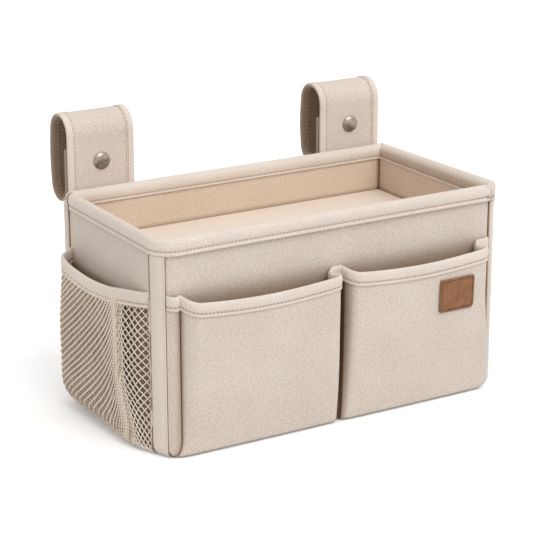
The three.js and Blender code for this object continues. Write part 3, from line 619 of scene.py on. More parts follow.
def liningWall(side):
    across = side in ("left", "right")
    half, reach = halfWide - lining["face"], halfDeep - lining["face"]
    if across:
        half, reach = reach, half
    sign = signOf(side)
    foot = box["frontFoot" if side == "front" else "sideFoot"]

    def place(u, v):
        along = (2 * u - 1) * half * (sign if across else -sign)
        z = lining["foot"] + v * (panelTop - lining["foot"])
        inward = lining["slack"] * (1 + ripple(along, z, 19.0 * sign, lining["slackSize"]))
        inward *= smoothStep((half - abs(along)) / lining["slackFade"])
        inward *= smoothStep((lining["slackTop"] - z) / lining["topFade"])
        inward = min(inward, lining["mostSlack"]) + curveIn(foot, z, lining["face"])
        inward -= lining["underRim"] * smoothStep((z - lining["rimLine"]) / lining["rimFade"])
        # painted shade in the corners, just above the raised floor, and over the whole right wall
        shade = 1 - (1 - lining["cornerShade"]) * fades(half - abs(along), lining["cornerFade"])
        if z > lining["floorLine"]:
            shade *= 1 - lining["floorShade"] * fades(z - lining["floorLine"], lining["floorFade"])
        shade *= lining["rightShade"] if side == "right" else 1
        out = sign * (reach - inward)
        return (out, along, z, shade) if across else (along, out, z, shade)

    clothSheet(side + "LiningCloth", 60, 50, place, lining["cloth"], liningCloth, side + "_lining")


def baseLining():
    low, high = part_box("base_lining")
    low, high = low / mm - Vector((8, 2, 0)), high / mm + Vector((8, 0, 0))

    def place(u, v):
        x, y = low.x + u * (high.x - low.x), low.y + v * (high.y - low.y)
        return x, y, high.z - 0.2 * (1 + ripple(x, y, 2.0, 30))

    clothSheet("baseLiningCloth", 40, 24, place, 0.5, liningCloth, "base_lining")


for panelSide in ("left", "right"):
    sidePanel(panelSide)
endPanel("front", 230, 70, (5, 2.2), 3.0, 0)
endPanel("back", 80, 50, (3, 3), 11.0, 0.5)
basePanel()
for liningSide in ("front", "back", "left", "right"):
    liningWall(liningSide)
baseLining()
print("panels and linings made")


# The rim: folded tape over the walls, in three lengths, stitched inside and out

rim = {
    "halfWidth": 158.2, "front": 82.8, "rear": 80.5, "frontLeft": 16, "frontRight": 0.1, "back": 2.5,
    "frontEnd": 76, "top": 183.4, "depth": 14,
    "rightRise": 3.4, "ahead": 3.7,  # the right run stands higher in front, and laps past the front run
    "lapTuck": 0.94, "lap": 1.6, "puff": 0.16, "puffSize": 16, "columns": 260, "endGap": 0.15,
    # painted highlight and painted shade where two runs lap, and painted shade at the seams of the back
    # corners
    "underLapShade": 0.6, "overLapHighlight": 1.3, "overReach": 1.5, "seamShade": 0.3, "seamReach": 3, "shadeFade": 1.2,
    "stitchUp": -10.2, "stitchOut": 3.02, "stitchPitch": 3.4, "stitchGap": 1.5,
    # from the lower edge of the outside up to the fold: out, up and shade
    "half": ((2.2, -14, 0.45), (2.85, -14.15, 0.6), (3.3, -13.8, 0.88), (3.52, -13, 1), (3.45, -12, 1),
             (3.2, -10.9, 0.93), (2.8, -10.2, 0.45), (3.15, -9.5, 0.94), (3.5, -8.4, 1), (3.75, -7, 1),
             (3.82, -5, 1), (3.62, -3.4, 1), (3.05, -1.7, 1), (1.8, -0.4, 1), (0.0, 0.1, 1)),
}


# The line round the rim, anticlockwise from the left side's back end: start, way, length and next corner.
def rimLegs():
    wide, front, rear, left, right, back, end = [
        rim[key] for key in ("halfWidth", "front", "rear", "frontLeft", "frontRight", "back", "frontEnd")]
    return (
        ((-wide, end), (0, -1), front - left + end, left),
        ((-wide + left, -front), (1, 0), 2 * wide - left - right, right),
        ((wide, -front + right), (0, 1), front + rear - right - back, back),
        ((wide - back, rear), (-1, 0), 2 * (wide - back), back),
        ((-wide, rear - back), (0, -1), rear - back - end, 0),
    )


def rimLine(travel):  # point and outward direction
    for start, way, straight, corner in rimLegs():
        way, origin = Vector((*way, 0)), Vector((*start, 0))
        outward = Vector((way.y, -way.x, 0))
        if travel <= straight:
            return origin + way * travel, outward
        travel -= straight
        if corner and travel <= corner * math.pi / 2:
            angle = travel / corner
            turned = outward * math.cos(angle) + way * math.sin(angle)
            return origin + way * straight + (turned - outward) * corner, turned
        travel -= corner * math.pi / 2
    return origin + way * straight, outward


rimRuns = [straight + corner * math.pi / 2 for _, _, straight, corner in rimLegs()]
rimRightStart = sum(rimRuns[:2])
rimFrontEnd = rimRightStart - 0.4
rimCornerEnd = sum(rimRuns[:3]) - rim["back"] * math.pi / 4
rimBackEnd = sum(rimRuns)


def rimRise(travel):
    share = (travel - rimRightStart) / rimRuns[2]
    return rim["rightRise"] * (1 - share) if -0.1 < share < 1 else 0.0


def rimSection(innerShade, innerFull):
    outer = list(rim["half"])
    inner = []
    for out, up, shade in reversed(outer[:-1]):  # painted shade on the inside face, lifted on the lip below the stitches
        shadeDrop = (1 - innerShade) * smoothStep(-up / 6) * (1 - 0.9 * smoothStep((-up - 10.6) / 1.2))
        full = innerFull * smoothStep(-up / 5)
        inner.append((-out - full, up + (1 if up < -12 else 0), shade * (1 - shadeDrop)))
    return outer + inner


def rimBand(name, start, end, innerShade=1.0, innerFull=2.5):
    length = end - start
    right = start < rimRightStart < end

    def frameAt(u):
        travel = start + rim["endGap"] + u * (length - 2 * rim["endGap"])
        past = max(rimRightStart - travel, 0) if end > rimRightStart else 0  # straight on past the corner
        point, outward = rimLine(travel + past)
        point = point - Vector((0, past, 0))
        rise = rimRise(travel + past) if end > rimRightStart else 0.0
        fromStart, fromEnd = u * length, (1 - u) * length
        tuck = rim["lapTuck"] + (1 - rim["lapTuck"]) * smoothStep(min(fromStart, fromEnd) / rim["lap"])
        puff = rim["puff"] * ripple(point.x, point.y, 4.0, rim["puffSize"])
        dim = 1.0
        if start == 0 and u > 0.5:  # painted shade where the front run goes under the right one
            dim = 1 - (1 - rim["underLapShade"]) * fades(fromEnd - 0.2, rim["shadeFade"])
        elif right and fromStart < rim["overReach"]:
            # a painted highlight on the right run's end, where it laps past the front run
            dim = rim["overLapHighlight"]
        # painted shade at the seams of the back corners
        fromSeam = min(abs(travel - rimCornerEnd), travel, rimBackEnd - travel)
        if fromSeam < rim["seamReach"]:
            dim = 1 - (1 - rim["seamShade"]) * fades(fromSeam - 0.4, rim["shadeFade"])
        origin = point + Vector((0, 0, rim["top"] + rise + 0.6 * puff))
        return origin, outward, Vector((0, 0, 1 + rise / rim["depth"])), tuck * (1 + 0.3 * puff), dim

    columns = max(60, int(rim["columns"] * length / 470) * 2)
    sweptBand(name, columns, frameAt, rimSection(innerShade, innerFull), tapeCloth,
              name.replace("rimTape", "rim_binding_").lower(), angle=60)
    places = []
    for side in (1, -1):
        def pointAt(t, side=side):
            point, outward = rimLine(t)
            rise = rimRise(t)
            up = rim["top"] + rise + rim["stitchUp"] * (1 + rise / rim["depth"])
            out = rim["stitchOut"] if side > 0 else -rim["stitchOut"] - innerFull
            return point + outward * out + Vector((0, 0, up))

        begin = rimRightStart + 1 if right else start + rim["stitchGap"]
        places += alongSeam(pointAt, lambda t, side=side: rimLine(t)[1] * side, begin, end - rim["stitchGap"],
                            rim["stitchPitch"], samples=900)
    stitchRow(name + "Stitches", places, threadFinish)


rimBand("rimTapeFront", 0, rimFrontEnd)
rimBand("rimTapeRight", rimRightStart - rim["ahead"], rimCornerEnd, 0.72)
rimBand("rimTapeBack", rimCornerEnd, rimBackEnd, innerFull=1.2)
print("rim made")


# Folded tape over the four upright corners

# A corner in plan: how far along the tape from its edge on the side wall, to inset, y and facing angle.
def cornerPlan(across, onSide, radius):
    straight = onSide - radius
    if across <= straight:
        return 0.0, -halfDeep + onSide - across, 0.0
    angle = (across - straight) / radius
    return radius - radius * math.cos(angle), -halfDeep + radius - radius * math.sin(angle), angle


def cornerBand(end, side):
    sign, facing = signOf(side), signOf(end)
    radius, foot = box[end.lower() + side], box[end.lower() + "Foot"]
    onSide, onFace, bead, top = [cornerTape[key][end + side] for key in ("onSide", "onFace", "bead", "top")]
    wide = onSide - radius + radius * math.acos((radius - onFace) / radius)
    stations = list(cornerTape["sideEdge"])
    stations += [(2.6 + (wide - 5.0) * i / 12, 0.0, 1.0) for i in range(1, 12)]
    stations += [(wide - across, depth, shade) for across, depth, shade in reversed(cornerTape["faceEdge"])]
    length = outlineLength(top, 0)

    def place(u, v):
        across, depth, shade = stations[round(u * (len(stations) - 1))]
        travel = (1 - v) * length
        depth -= cornerTape["puff"] * ripple(travel, across, sign * 5.0, cornerTape["puffSize"])
        inset, y, angle = cornerPlan(across, onSide, radius)
        full = bead * smoothStep(across / 5) * smoothStep((wide - across) / 2)
        inset += (depth - full) * math.cos(angle)
        y += (depth - 0.4 * full) * math.sin(angle)
        outline, outward = sideOutline(travel, top, 0)
        z = outline.y - outward.y * clamp(inset, 0, 0.6)  # the foot of the tape hardly hangs lower
        y = max(y, -halfDeep + depth + curveIn(foot, z, depth))
        return sign * (outline.x - outward.x * inset), -facing * y, z, shade

    name = "cornerTape" + end + side
    piece = clothGrid(name, len(stations) - 1, cornerTape["rows"], place)
    faceOutward(piece)
    middle = min(piece.data.polygons, key=lambda p: abs(p.center.z - 0.1) + abs(p.center.y) * 0.001)
    if middle.normal.x * sign + middle.normal.y * facing < 0:
        piece.data.flip_normals()
    thicken(piece, cornerTape["cloth"])
    finishPiece(piece, tapeCloth, f"corner_binding_{end.lower()}_{side.lower()}", angle=60)


for cornerEnd in ("Front", "Back"):
    for cornerSide in ("Left", "Right"):
        cornerBand(cornerEnd, cornerSide)
print("corner tapes made")


# Front pockets: each panel folds out of its left root, bows across and turns back in on its right

pockets = {
    "proud": 16, "sag": 7, "rootTop": 137, "band": 12, "cloth": 0.8, "standoff": 1.2, "footShare": 0.26,
    "footHeight": 3, "swell": 1.8, "dropShare": 0.55, "foot": 0.9, "foldFade": 0.62, "footRound": 14,
    "footShift": {"left": -6.5, "right": -2},  # how far the foot of each left root lies from its mouth
    "footCorners": ((-153, 7), (157.3, 14)),  # where the outer lower corners turn, and how wide
    "columns": 150, "rows": 60, "slack": 0.55, "slackSize": 38,
    "left": {"start": -152.7, "leftRoot": -142.4, "rightRoot": -1.3, "end": 3.7, "bulge": 0.1, "seed": 31.0},
    "right": {"start": 4.3, "leftRoot": 7.0, "rightRoot": 146, "end": 157.3, "bulge": 0.04, "seed": 57.0},
    # along from the left root and out at the mouth, as a share of the pocket's reach
    "outFold": ((0, 0.0), (1.0, 0.18), (3.0, 0.47), (6.2, 0.72), (10.5, 0.87), (22, 0.93)),
    # the same, with shares of the pocket's width
    "bow": ((0.27, 0.965), (0.4, 0.99), (0.52, 1.0), (0.64, 1.0), (0.75, 0.99)),
    # along from the right root, and out: the fuller fold at the mouth, and the plain one at the foot
    "backFold": ((-22, 0.975), (-14, 0.97), (-7, 0.955), (-2.4, 0.9), (0.1, 0.8), (0.2, 0.66), (-2.2, 0.54),
                 (-4.6, 0.43), (-4.6, 0.3), (-2.4, 0.17), (0, 0.04)),
    "footFold": ((-22, 0.985), (-14, 0.97), (-7, 0.945), (-3.2, 0.89), (-1.2, 0.8), (0.2, 0.68), (1.0, 0.54),
                 (1.4, 0.4), (1.4, 0.26), (0.9, 0.12), (0, 0.0)),
}


def lineThrough(knots, share):
    last = len(knots) - 1
    place = clamp(share) * last
    index = min(int(place), last - 1)
    t = place - index
    spots = [knots[clamp(index + step, 0, last)] for step in (-1, 0, 1, 2)]
    return [0.5 * (2 * b + (c - a) * t + (2 * a - 5 * b + 4 * c - d) * t * t
                   + (3 * b - a - 3 * c + d) * t ** 3) for a, b, c, d in zip(*spots)]


def frontKnots(ends, backFold, stripBulge):
    start, left, right = ends["start"], ends["leftRoot"], ends["rightRoot"]
    strip = left - start
    knots = [(start, 0.0), (start + strip * 0.3, 0.7 * stripBulge), (start + strip * 0.62, stripBulge),
             (left - min(strip * 0.16, 2), 0.4 * stripBulge)]
    knots += [(left + along, reach) for along, reach in pockets["outFold"]]
    knots += [(left + (right - left) * share, reach) for share, reach in pockets["bow"]]
    return knots + [(right + along, reach) for along, reach in backFold] + [(ends["end"], 0.0)]


def frontPocketOf(side):
    ends = pockets[side]
    start, left, right, end = [ends[key] for key in ("start", "leftRoot", "rightRoot", "end")]
    atMouth = frontKnots(ends, pockets["backFold"], ends["bulge"])
    atFoot = frontKnots(dict(ends, rightRoot=end - 1.4), pockets["footFold"], ends["bulge"])
    bandFoot = pockets["rootTop"] - pockets["sag"] - pockets["band"] - 2

    def fullness(height):
        rise = clamp((height - pockets["footHeight"]) / (bandFoot - pockets["footHeight"]))
        return pockets["footShare"] + (1 - pockets["footShare"]) * (1 - (1 - rise) ** pockets["swell"])

    def planAt(share, height):
        fold = smoothStep((height / pockets["rootTop"] - 0.12) / pockets["foldFade"])
        mouthSpot, footSpot = lineThrough(atMouth, share), lineThrough(atFoot, share)
        along = footSpot[0] + (mouthSpot[0] - footSpot[0]) * fold
        turn = clamp(1 - (height - pockets["foot"]) / pockets["footRound"])
        nearRoot = smoothStep((along - start) / 9) * smoothStep((start + 50 - along) / 36)
        along += pockets["footShift"][side] * (1 - math.sqrt(1 - turn * turn)) * nearRoot
        reach = max(footSpot[1] + (mouthSpot[1] - footSpot[1]) * fold, 0)
        gap = pockets["standoff"] * smoothStep((along - start) / 4) * smoothStep((end - along) / 4)
        return along, reach * pockets["proud"] * fullness(height) + gap + pockets["cloth"]

    def mouthHeight(share):
        along, reach = lineThrough(atMouth, share)
        across = clamp((along - left) / (right - left))
        hang = pockets["dropShare"] * max(reach, 0) + (1 - pockets["dropShare"]) * math.sin(math.pi * across)
        return pockets["rootTop"] - pockets["sag"] * hang

    def spotAt(share, height, lift=0.0):
        along, out, outward = besideCurve(lambda s: planAt(s, height), share, 0.004, lift)
        along = clamp(along, *[edge for edge, _ in pockets["footCorners"]])
        y = wallLine("front", height) + cornerBack(along, "front") - out
        return Vector((along, y, height)), Vector((outward.x, -outward.y, 0))

    return spotAt, mouthHeight


# Painted shade on a pocket: in its folds and crease, in the gap between the pockets, and across the strip
# beside the corner.
def pocketShade(ends, along, reach, isLeft):
    left = ends["leftRoot"]
    past = along - left
    if along > ends["rightRoot"] - 8:
        return 0.12 + 0.88 * smoothStep((reach - 0.04) / 0.7)
    if past < 0.25 and isLeft:  # painted shade across the strip beside the corner, and in its crease
        strip = 1 - 0.3 * smoothStep((along - ends["start"]) / (left - ends["start"])) ** 1.4
        return strip * (1 - 0.6 * smoothStep((past + 1.2) / 0.7))
    if past < 0:
        return 0.2
    if past < 9 and isLeft:
        return 0.72 + 0.28 * smoothStep(past / 2)
    if past < 9:  # painted shade deep in the gap between the pockets
        return 0.2 + 0.48 * smoothStep((past - 1) / 0.9) + 0.32 * smoothStep((past - 2) / 5)
    return 1.0


def pocketBody(side):
    ends, isLeft = pockets[side], side == "left"
    spotAt, mouthHeight = frontPocketOf(side)
    knots = frontKnots(ends, pockets["backFold"], 0.0)

    def place(u, v):
        top, along = mouthHeight(u) - 1.2, spotAt(u, 8)[0].x
        foot = pockets["foot"]
        for edge, radius in pockets["footCorners"]:
            over = clamp((along - edge) * (1 if edge > 0 else -1) + radius, 0.0, radius)
            foot += radius - math.sqrt(radius * radius - over * over)
        height = foot + (top - foot) * v ** 1.1
        slack = ripple(u * 150, height, ends["seed"], pockets["slackSize"])
        slack += 0.5 * ripple(u * 150, height, 12.0, 17)
        hold = smoothStep((u - 0.2) / 0.15) * smoothStep((0.72 - u) / 0.1) * smoothStep((height - 10) / 25)
        spot, outward = spotAt(u, height, pockets["slack"] * slack * hold)
        # painted shade along the pocket's foot
        edge = 0.7 + 0.3 * smoothStep((height - foot) / 1.6)
        return (*spot, pocketShade(ends, *lineThrough(knots, u), isLeft) * edge)

    clothSheet("pocketCloth" + side.capitalize(), pockets["columns"], pockets["rows"], place,
               pockets["cloth"], outerCloth, "front_pocket_" + side, angle=60)


# Folded tape over a pocket's mouth: out and up from the middle of the fold's lower edge, and shade.
mouthEdge = {
    "half": 1.15, "stitchUp": 3.2, "stitchOut": 0.22, "stitchPitch": 3.4, "backShade": 0.9,
    "foot": ((-0.55, -0.05, 0.5), (0.25, -0.12, 0.7), (0.48, 0.35, 0.95), (0.5, 1.2, 1), (0.42, 2.3, 0.98),
             (0.1, 3.2, 0.45), (0.42, 4.1, 0.97), (0.62, 5.4, 1), (0.75, 7.4, 1)),
    "top": ((0.72, -2.6, 1), (0.35, -1.1, 1)),
}


def mouthTape(name, spotAt, mouthHeight, band, columns, node, length, stitchShares):
    half = mouthEdge["half"]
    outer = [(half + out, -band + up, shade) for out, up, shade in mouthEdge["foot"]]
    outer += [(half + out, up, shade) for out, up, shade in mouthEdge["top"]] + [(half * 0.5, -0.2, 1)]
    inner = [(-out, up, shade * mouthEdge["backShade"]) for out, up, shade in reversed(outer)]

    def frameAt(u):
        top = mouthHeight(u)
        spot, outward = spotAt(u, top - band * 0.45)
        lift = 0.25 * ripple(u * length, 3.0, band, 13)
        origin = spot - outward * 0.4
        return Vector((origin.x, origin.y, top + 0.3 * lift)), outward, 1 + 0.12 * lift

    frames = {}

    # Lower on the pocket the tape follows the pocket's own slope.
    def slopeAt(u, height, below):
        return (spotAt(u, height + below)[0] - spotAt(u, height - band * 0.45)[0]).xy.to_3d()

    def onTape(u, out, up, shade):
        origin, outward, tuck = frames.get(round(u, 5)) or frames.setdefault(round(u, 5), frameAt(u))
        slope = slopeAt(u, origin.z, min(up, 0))
        return (*(origin + slope + outward * out * tuck + Vector((0, 0, up))), shade)

    closedBand(name, columns, outer + [(0, 0, 1)] + inner, onTape, tapeCloth, node, angle=60)

    def pointAt(t):
        origin, outward, _ = frameAt(t)
        up = mouthEdge["stitchUp"] - band
        return (origin + slopeAt(t, origin.z, up) + outward * (half + mouthEdge["stitchOut"])
                + Vector((0, 0, up)))

    places = alongSeam(pointAt, lambda t: frameAt(t)[1], *stitchShares, mouthEdge["stitchPitch"], samples=500)
    stitchRow(name + "Stitches", places, threadFinish)


for pocketSide in ("left", "right"):
    pocketBody(pocketSide)
    mouthTape("pocketTape" + pocketSide.capitalize(), *frontPocketOf(pocketSide), pockets["band"], 150,
              "front_pocket_binding_" + pocketSide, 175, (0.008, 0.992))
print("front pockets made")


# Net pocket: knotted cord diamonds, gathered towards the back under a bound mouth

net = {
    "start": -66.2, "end": 75.4, "proud": 16, "sag": 6, "rootTop": 137, "band": 13,
    "foot": -6, "low": 1.4, "dropShare": 0.55, "standoff": 1.0, "cloth": 1.2, "hem": 0.9,
    "turnRadius": 3, "turnGrows": 28, "turnIn": -1, "turnPower": 1.2,  # how it turns in under the box
    # how far out it stands along its length, at the mouth and lower down
    "mouth": ((0, 0), (0.08, 0.24), (0.19, 0.5), (0.3, 0.8), (0.48, 0.98), (0.66, 1), (0.84, 0.93),
              (0.95, 0.68), (1, 0)),
    "belly": ((0, 0), (0.08, 0.34), (0.19, 0.56), (0.3, 0.67), (0.48, 0.81), (0.66, 0.94), (0.84, 1.04),
              (0.95, 0.88), (1, 0)),
    "columns": 36, "rows": 20, "cord": 1.4,
    # shares along the mouth: where the open net ends, and the tight gather beside it
    "open": 0.2, "openAtFoot": 0.09, "tight": 0.075, "openColumns": 4, "tightColumns": 5,
    "tightDepth": 0.45, "tightFull": 0.9, "tightPitch": 2.9, "tightShade": 0.13, "backShade": 0.24,
}
# The loose part hangs in slanting ropes: spacing and slant are shares of the net's length.
ropes = {
    "count": 42, "spacing": 0.066, "slant": 0.0122, "crowd": 5.5, "size": 1.05, "lift": 0.8,
    "step": 0.8, "steps": 174, "fadeSteps": 6, "waver": 0.03, "waverSize": 34, "twistPitch": 2.3,
    "innerShade": 0.66, "overlap": 0.045,
}


def netPlan(share, travel=137):
    spots = []
    for knots in (net["mouth"], net["belly"]):
        index = max(i for i in range(len(knots) - 1) if knots[i][0] <= min(share, 0.999))
        t = (share - knots[index][0]) / (knots[index + 1][0] - knots[index][0])
        spots.append(max(lineThrough(knots, (index + t) / (len(knots) - 1))[1], 0.0))
    reach = spots[0] + (spots[1] - spots[0]) * fades(travel - 75, 50)
    return net["start"] + (net["end"] - net["start"]) * share, reach


def netSpot(share, travel, lift=0.0):
    def outAt(s):
        along, reach = netPlan(clamp(s), travel)
        return along, reach * net["proud"] + net["standoff"] * smoothStep(min(s, 1 - s) / 0.05) + net["cloth"]

    along, out, outward = besideCurve(outAt, share, 0.01, lift)
    height, rise = travel, 0.0
    radius = net["turnRadius"] + net["turnGrows"] * share
    if travel < radius:  # near the ground it turns in under the box
        angle = min((radius - travel) / (radius - net["foot"]), 1.0) * math.pi / 2
        rise = math.sin(angle)
        out = net["turnIn"] + (out - net["turnIn"]) * math.cos(angle) ** net["turnPower"]
        height = radius - (radius - net["low"]) * rise
    outward = Vector((-outward.y * (1 - 0.9 * rise), outward.x, -rise)).normalized()
    return Vector((skin - halfWide - out, along, height)), outward


def netMouth(share):
    hang = net["dropShare"] * netPlan(share)[1] + (1 - net["dropShare"]) * math.sin(math.pi * share)
    return net["rootTop"] - net["sag"] * hang


# A height at a share of the way up from the net's foot to a little under its mouth.
def netHeight(share, v, under=4):
    return net["foot"] + (netMouth(share) - under - net["foot"]) * v


# Where the open net and the tight gather end at a height; both draw in towards the foot.
def netParts(travel):
    rise = smoothStep((travel - net["foot"]) / 75)
    openEnd = net["openAtFoot"] + (net["open"] - net["openAtFoot"]) * rise
    return openEnd, openEnd + net["tight"]


def gathered(column, travel):  # where a column of the net lies along its length
    openEnd, tightEnd = netParts(travel)
    first, second = net["openColumns"], net["openColumns"] + net["tightColumns"]
    if column <= first:
        return openEnd * column / first
    if column <= second:
        return openEnd + (tightEnd - openEnd) * (column - first) / (second - first)
    return tightEnd + (1 - tightEnd) * (column - second) / (net["columns"] - second)


# The net is drawn up tight beside its open part: how far it lifts there, in mm, and its shade.
def netFolds(share, v, travel):
    openEnd, tightEnd = netParts(travel)
    along = share * (net["end"] - net["start"])
    behind = smoothStep((share - tightEnd + 0.02) / 0.06)
    tight = smoothStep((share - openEnd) / 0.03) * (1 - behind)
    slide = along + 0.1 * travel + 3 * ripple(along, travel, 9.0, 55)
    upright = math.sin(2 * math.pi * slide / net["tightPitch"])
    free = smoothStep(v / 0.08) * smoothStep((1.02 - v) / 0.1)
    lift = free * tight * (net["tightDepth"] * upright + net["tightFull"])
    return lift, 1 - net["backShade"] * behind - net["tightShade"] * tight * (1 - upright)


# The square lines between the pokes go, which leaves the diagonals as the net's diamonds.
def leaveDiamonds(mesh):
    bpy.ops.object.mode_set(mode="EDIT")
    bpy.ops.mesh.select_all(action="SELECT")
    bpy.ops.mesh.poke()
    bpy.ops.mesh.select_all(action="DESELECT")
    bpy.ops.object.mode_set(mode="OBJECT")
    for line in mesh.edges:
        first, second = (mesh.vertices[i].co for i in line.vertices)
        square = abs(first.x - second.x) < 1e-4 or abs(first.y - second.y) < 1e-4
        line.select = square and max(abs(first.x + second.x), abs(first.y + second.y)) / 2 < 0.499
    bpy.ops.object.mode_set(mode="EDIT")
    bpy.ops.mesh.select_mode(type="EDGE")
    bpy.ops.mesh.dissolve_edges(use_verts=False)
    bpy.ops.mesh.select_mode(type="VERT")
    bpy.ops.object.mode_set(mode="OBJECT")


def netCloth():
    columns = net["columns"]
    piece = startPiece("netCord", bpy.ops.mesh.primitive_grid_add, x_subdivisions=columns,
                       y_subdivisions=net["rows"], size=1)
    mesh = piece.data
    leaveDiamonds(mesh)
    shades = []
    for vertex in mesh.vertices:
        column, v = (vertex.co.x + 0.5) * columns, vertex.co.y + 0.5
        share = gathered(column, net["foot"] + (129 - net["foot"]) * v)
        height = netHeight(share, v, under=2)
        lift, shade = netFolds(share, v, height)
        low = smoothStep(v / 0.1)
        lift += 0.4 * ripple(share * 140, height, 70.0, 12) * low * smoothStep((1 - v) / 0.1)
        spot, outward = netSpot(share, height, lift)
        slide = ripple(share * 140, height, 40.0, 15) * low * smoothStep((0.9 - v) / 0.1)
        vertex.co = (spot + Vector((0, slide, 0.8 * slide))) * mm
        shades.append(shade)
    setShade(piece, shades)
    mesh.uv_layers[0].name = "clothPlan"
    modified(piece, "WIREFRAME", thickness=net["cord"] * mm, use_boundary=True, use_even_offset=False,
             use_replace=True)
    finishPiece(piece, netCord, "mesh_pocket_net", angle=80)


# A rope of the net at a height: slanting forward as it rises, and crowding up against the tight gather.
def ropeShare(rope, travel):
    raw = rope * ropes["spacing"] - ropes["slant"] * (travel - net["foot"])
    raw += ropes["waver"] * ripple(rope * 5, travel, 3.0, ropes["waverSize"])
    raw -= 0.25 * smoothStep((20 - travel) / 30)
    start = netParts(travel)[1] - ropes["overlap"]
    return raw, start + (1 - start) * math.log(1 + math.exp(ropes["crowd"] * raw)) / ropes["crowd"]


def netRope(rope, section):
    line = []
    for i in range(ropes["steps"]):
        travel = net["foot"] + 0.4 + ropes["step"] * i
        raw, share = ropeShare(rope, travel)
        if share < 0.99 and raw > -0.36 and travel < netMouth(share) - 3:
            lift = ropes["lift"] + 0.3 * ripple(rope * 9, travel, 1.0, 6)
            line.append((*netSpot(share, travel, lift * smoothStep((1 - share) / 0.1)), travel))
    last = len(line) - 1
    if last < 3:
        return
    frames = []
    for i, (spot, outward, travel) in enumerate(line):
        run = line[min(i + 1, last)][0] - line[max(i - 1, 0)][0]
        rise = run.cross(outward).normalized()
        outward = rise.cross(run).normalized()
        twist = math.sin(travel * ropes["twistPitch"] + rope * 2)
        swell = (0.85 + 0.15 * twist) * (0.6 + 0.4 * smoothStep(min(i, last - i) / ropes["fadeSteps"]))
        # painted shade: each rope is darker where its twist thins
        frames.append((spot, outward * swell, rise * swell, 1, 0.85 + 0.13 * twist))
    sweptBand(f"netRope{rope}", last, lambda u: frames[round(u * last)], section, netCord, angle=80)


# The sewn border down both sides and along the foot of the net, with a solid hem at the back.
netEdges = {
    # out, up and painted shade for each section, darkest on the side that faces the wall
    "side": ((-0.7, -1.0, 0.4), (-0.1, -1.1, 0.5), (0.2, -0.8, 0.6), (0.3, 0, 0.6), (0.2, 0.8, 0.6),
             (-0.1, 1.1, 0.5), (-0.7, 1.0, 0.4)),
    "foot": ((-2.5, -0.8, 0.6), (0.1, -0.9, 0.8), (0.6, -0.4, 1), (0.6, 0.4, 1), (0.1, 0.9, 0.9),
             (-2.5, 0.8, 0.6)),
}


def rimOfNet():
    def hemAt(u, v):
        travel = netHeight(1, v)
        spot, _ = netSpot(net["hem"] + (1 - net["hem"]) * u, travel, -0.4)
        # painted shade on the hem behind the ropes, varying in bands along it
        return (*spot, 0.72 + 0.1 * math.sin(u * 30 + travel))

    clothSheet("netHem", 16, 60, hemAt, 0.5, netCord, offset=0)
    for name, share in (("netBorderFront", 0.004), ("netBorderBack", 0.996)):
        def sideFrame(u, share=share):
            return netSpot(share, netHeight(share, u))[0], Vector((-1, 0, 0)), Vector((0, 1, 0)), 1

        sweptBand(name, 50, sideFrame, netEdges["side"], tapeCloth)
    sweptBand("netBorderFoot", 60, lambda u: (*netSpot(u, net["foot"]), Vector((0, 0, 1)), 1),
              netEdges["foot"], tapeCloth)


netCloth()
ropeSection = [(math.cos(k * math.pi / 3) * ropes["size"], -math.sin(k * math.pi / 3) * ropes["size"],
                1 if k in (0, 1, 5) else ropes["innerShade"]) for k in range(6)]
for rope in range(1, ropes["count"] + 1):
    netRope(rope, ropeSection)
mouthTape("netTape", netSpot, netMouth, net["band"], 110, "mesh_pocket_binding", 150, (0.01, 0.99))
rimOfNet()
print("net pocket made")


# Leather patch, sewn on the right pocket

patch = {
    "x": 113.3, "z": 98.2, "width": 35.5, "height": 29.4, "radius": 2.8, "thickness": 1.6, "sunk": 0.3,
    "offsets": (0, 0.2, 0.5, 0.9, 1.3, 1.6, 1.85, 2.1, 2.35, 2.6, 3.0, 3.8), "middle": (10, 8),
    "stitchIn": 2.1, "stitchPitch": 2.5, "stitchSunk": 0.08, "grooveDepth": 0.28, "grooveHalf": 0.6,
    "edgeFall": 0.55, "edgeDark": 0.2, "grooveDark": 0.35,
    "thread": {"length": 1.7, "width": 0.75, "height": 0.5, "sides": 6, "rings": 4},
}


# The y of the pocket's face under a place on its front.
def pocketFaceAt(spotAt, x, z):
    low, high = 0.25, 0.85
    for _ in range(22):
        middle = (low + high) / 2
        low, high = (middle, high) if spotAt(middle, z)[0].x < x else (low, middle)
    return spotAt((low + high) / 2, z)[0].y


def evenlyOut(half, steps):  # stations across a half width, close together near the edge
    inner = [half - offset for offset in patch["offsets"]]
    outer = [inner[-1] * i / steps for i in range(steps)] + inner[::-1]
    return [-place for place in reversed(outer[1:])] + outer


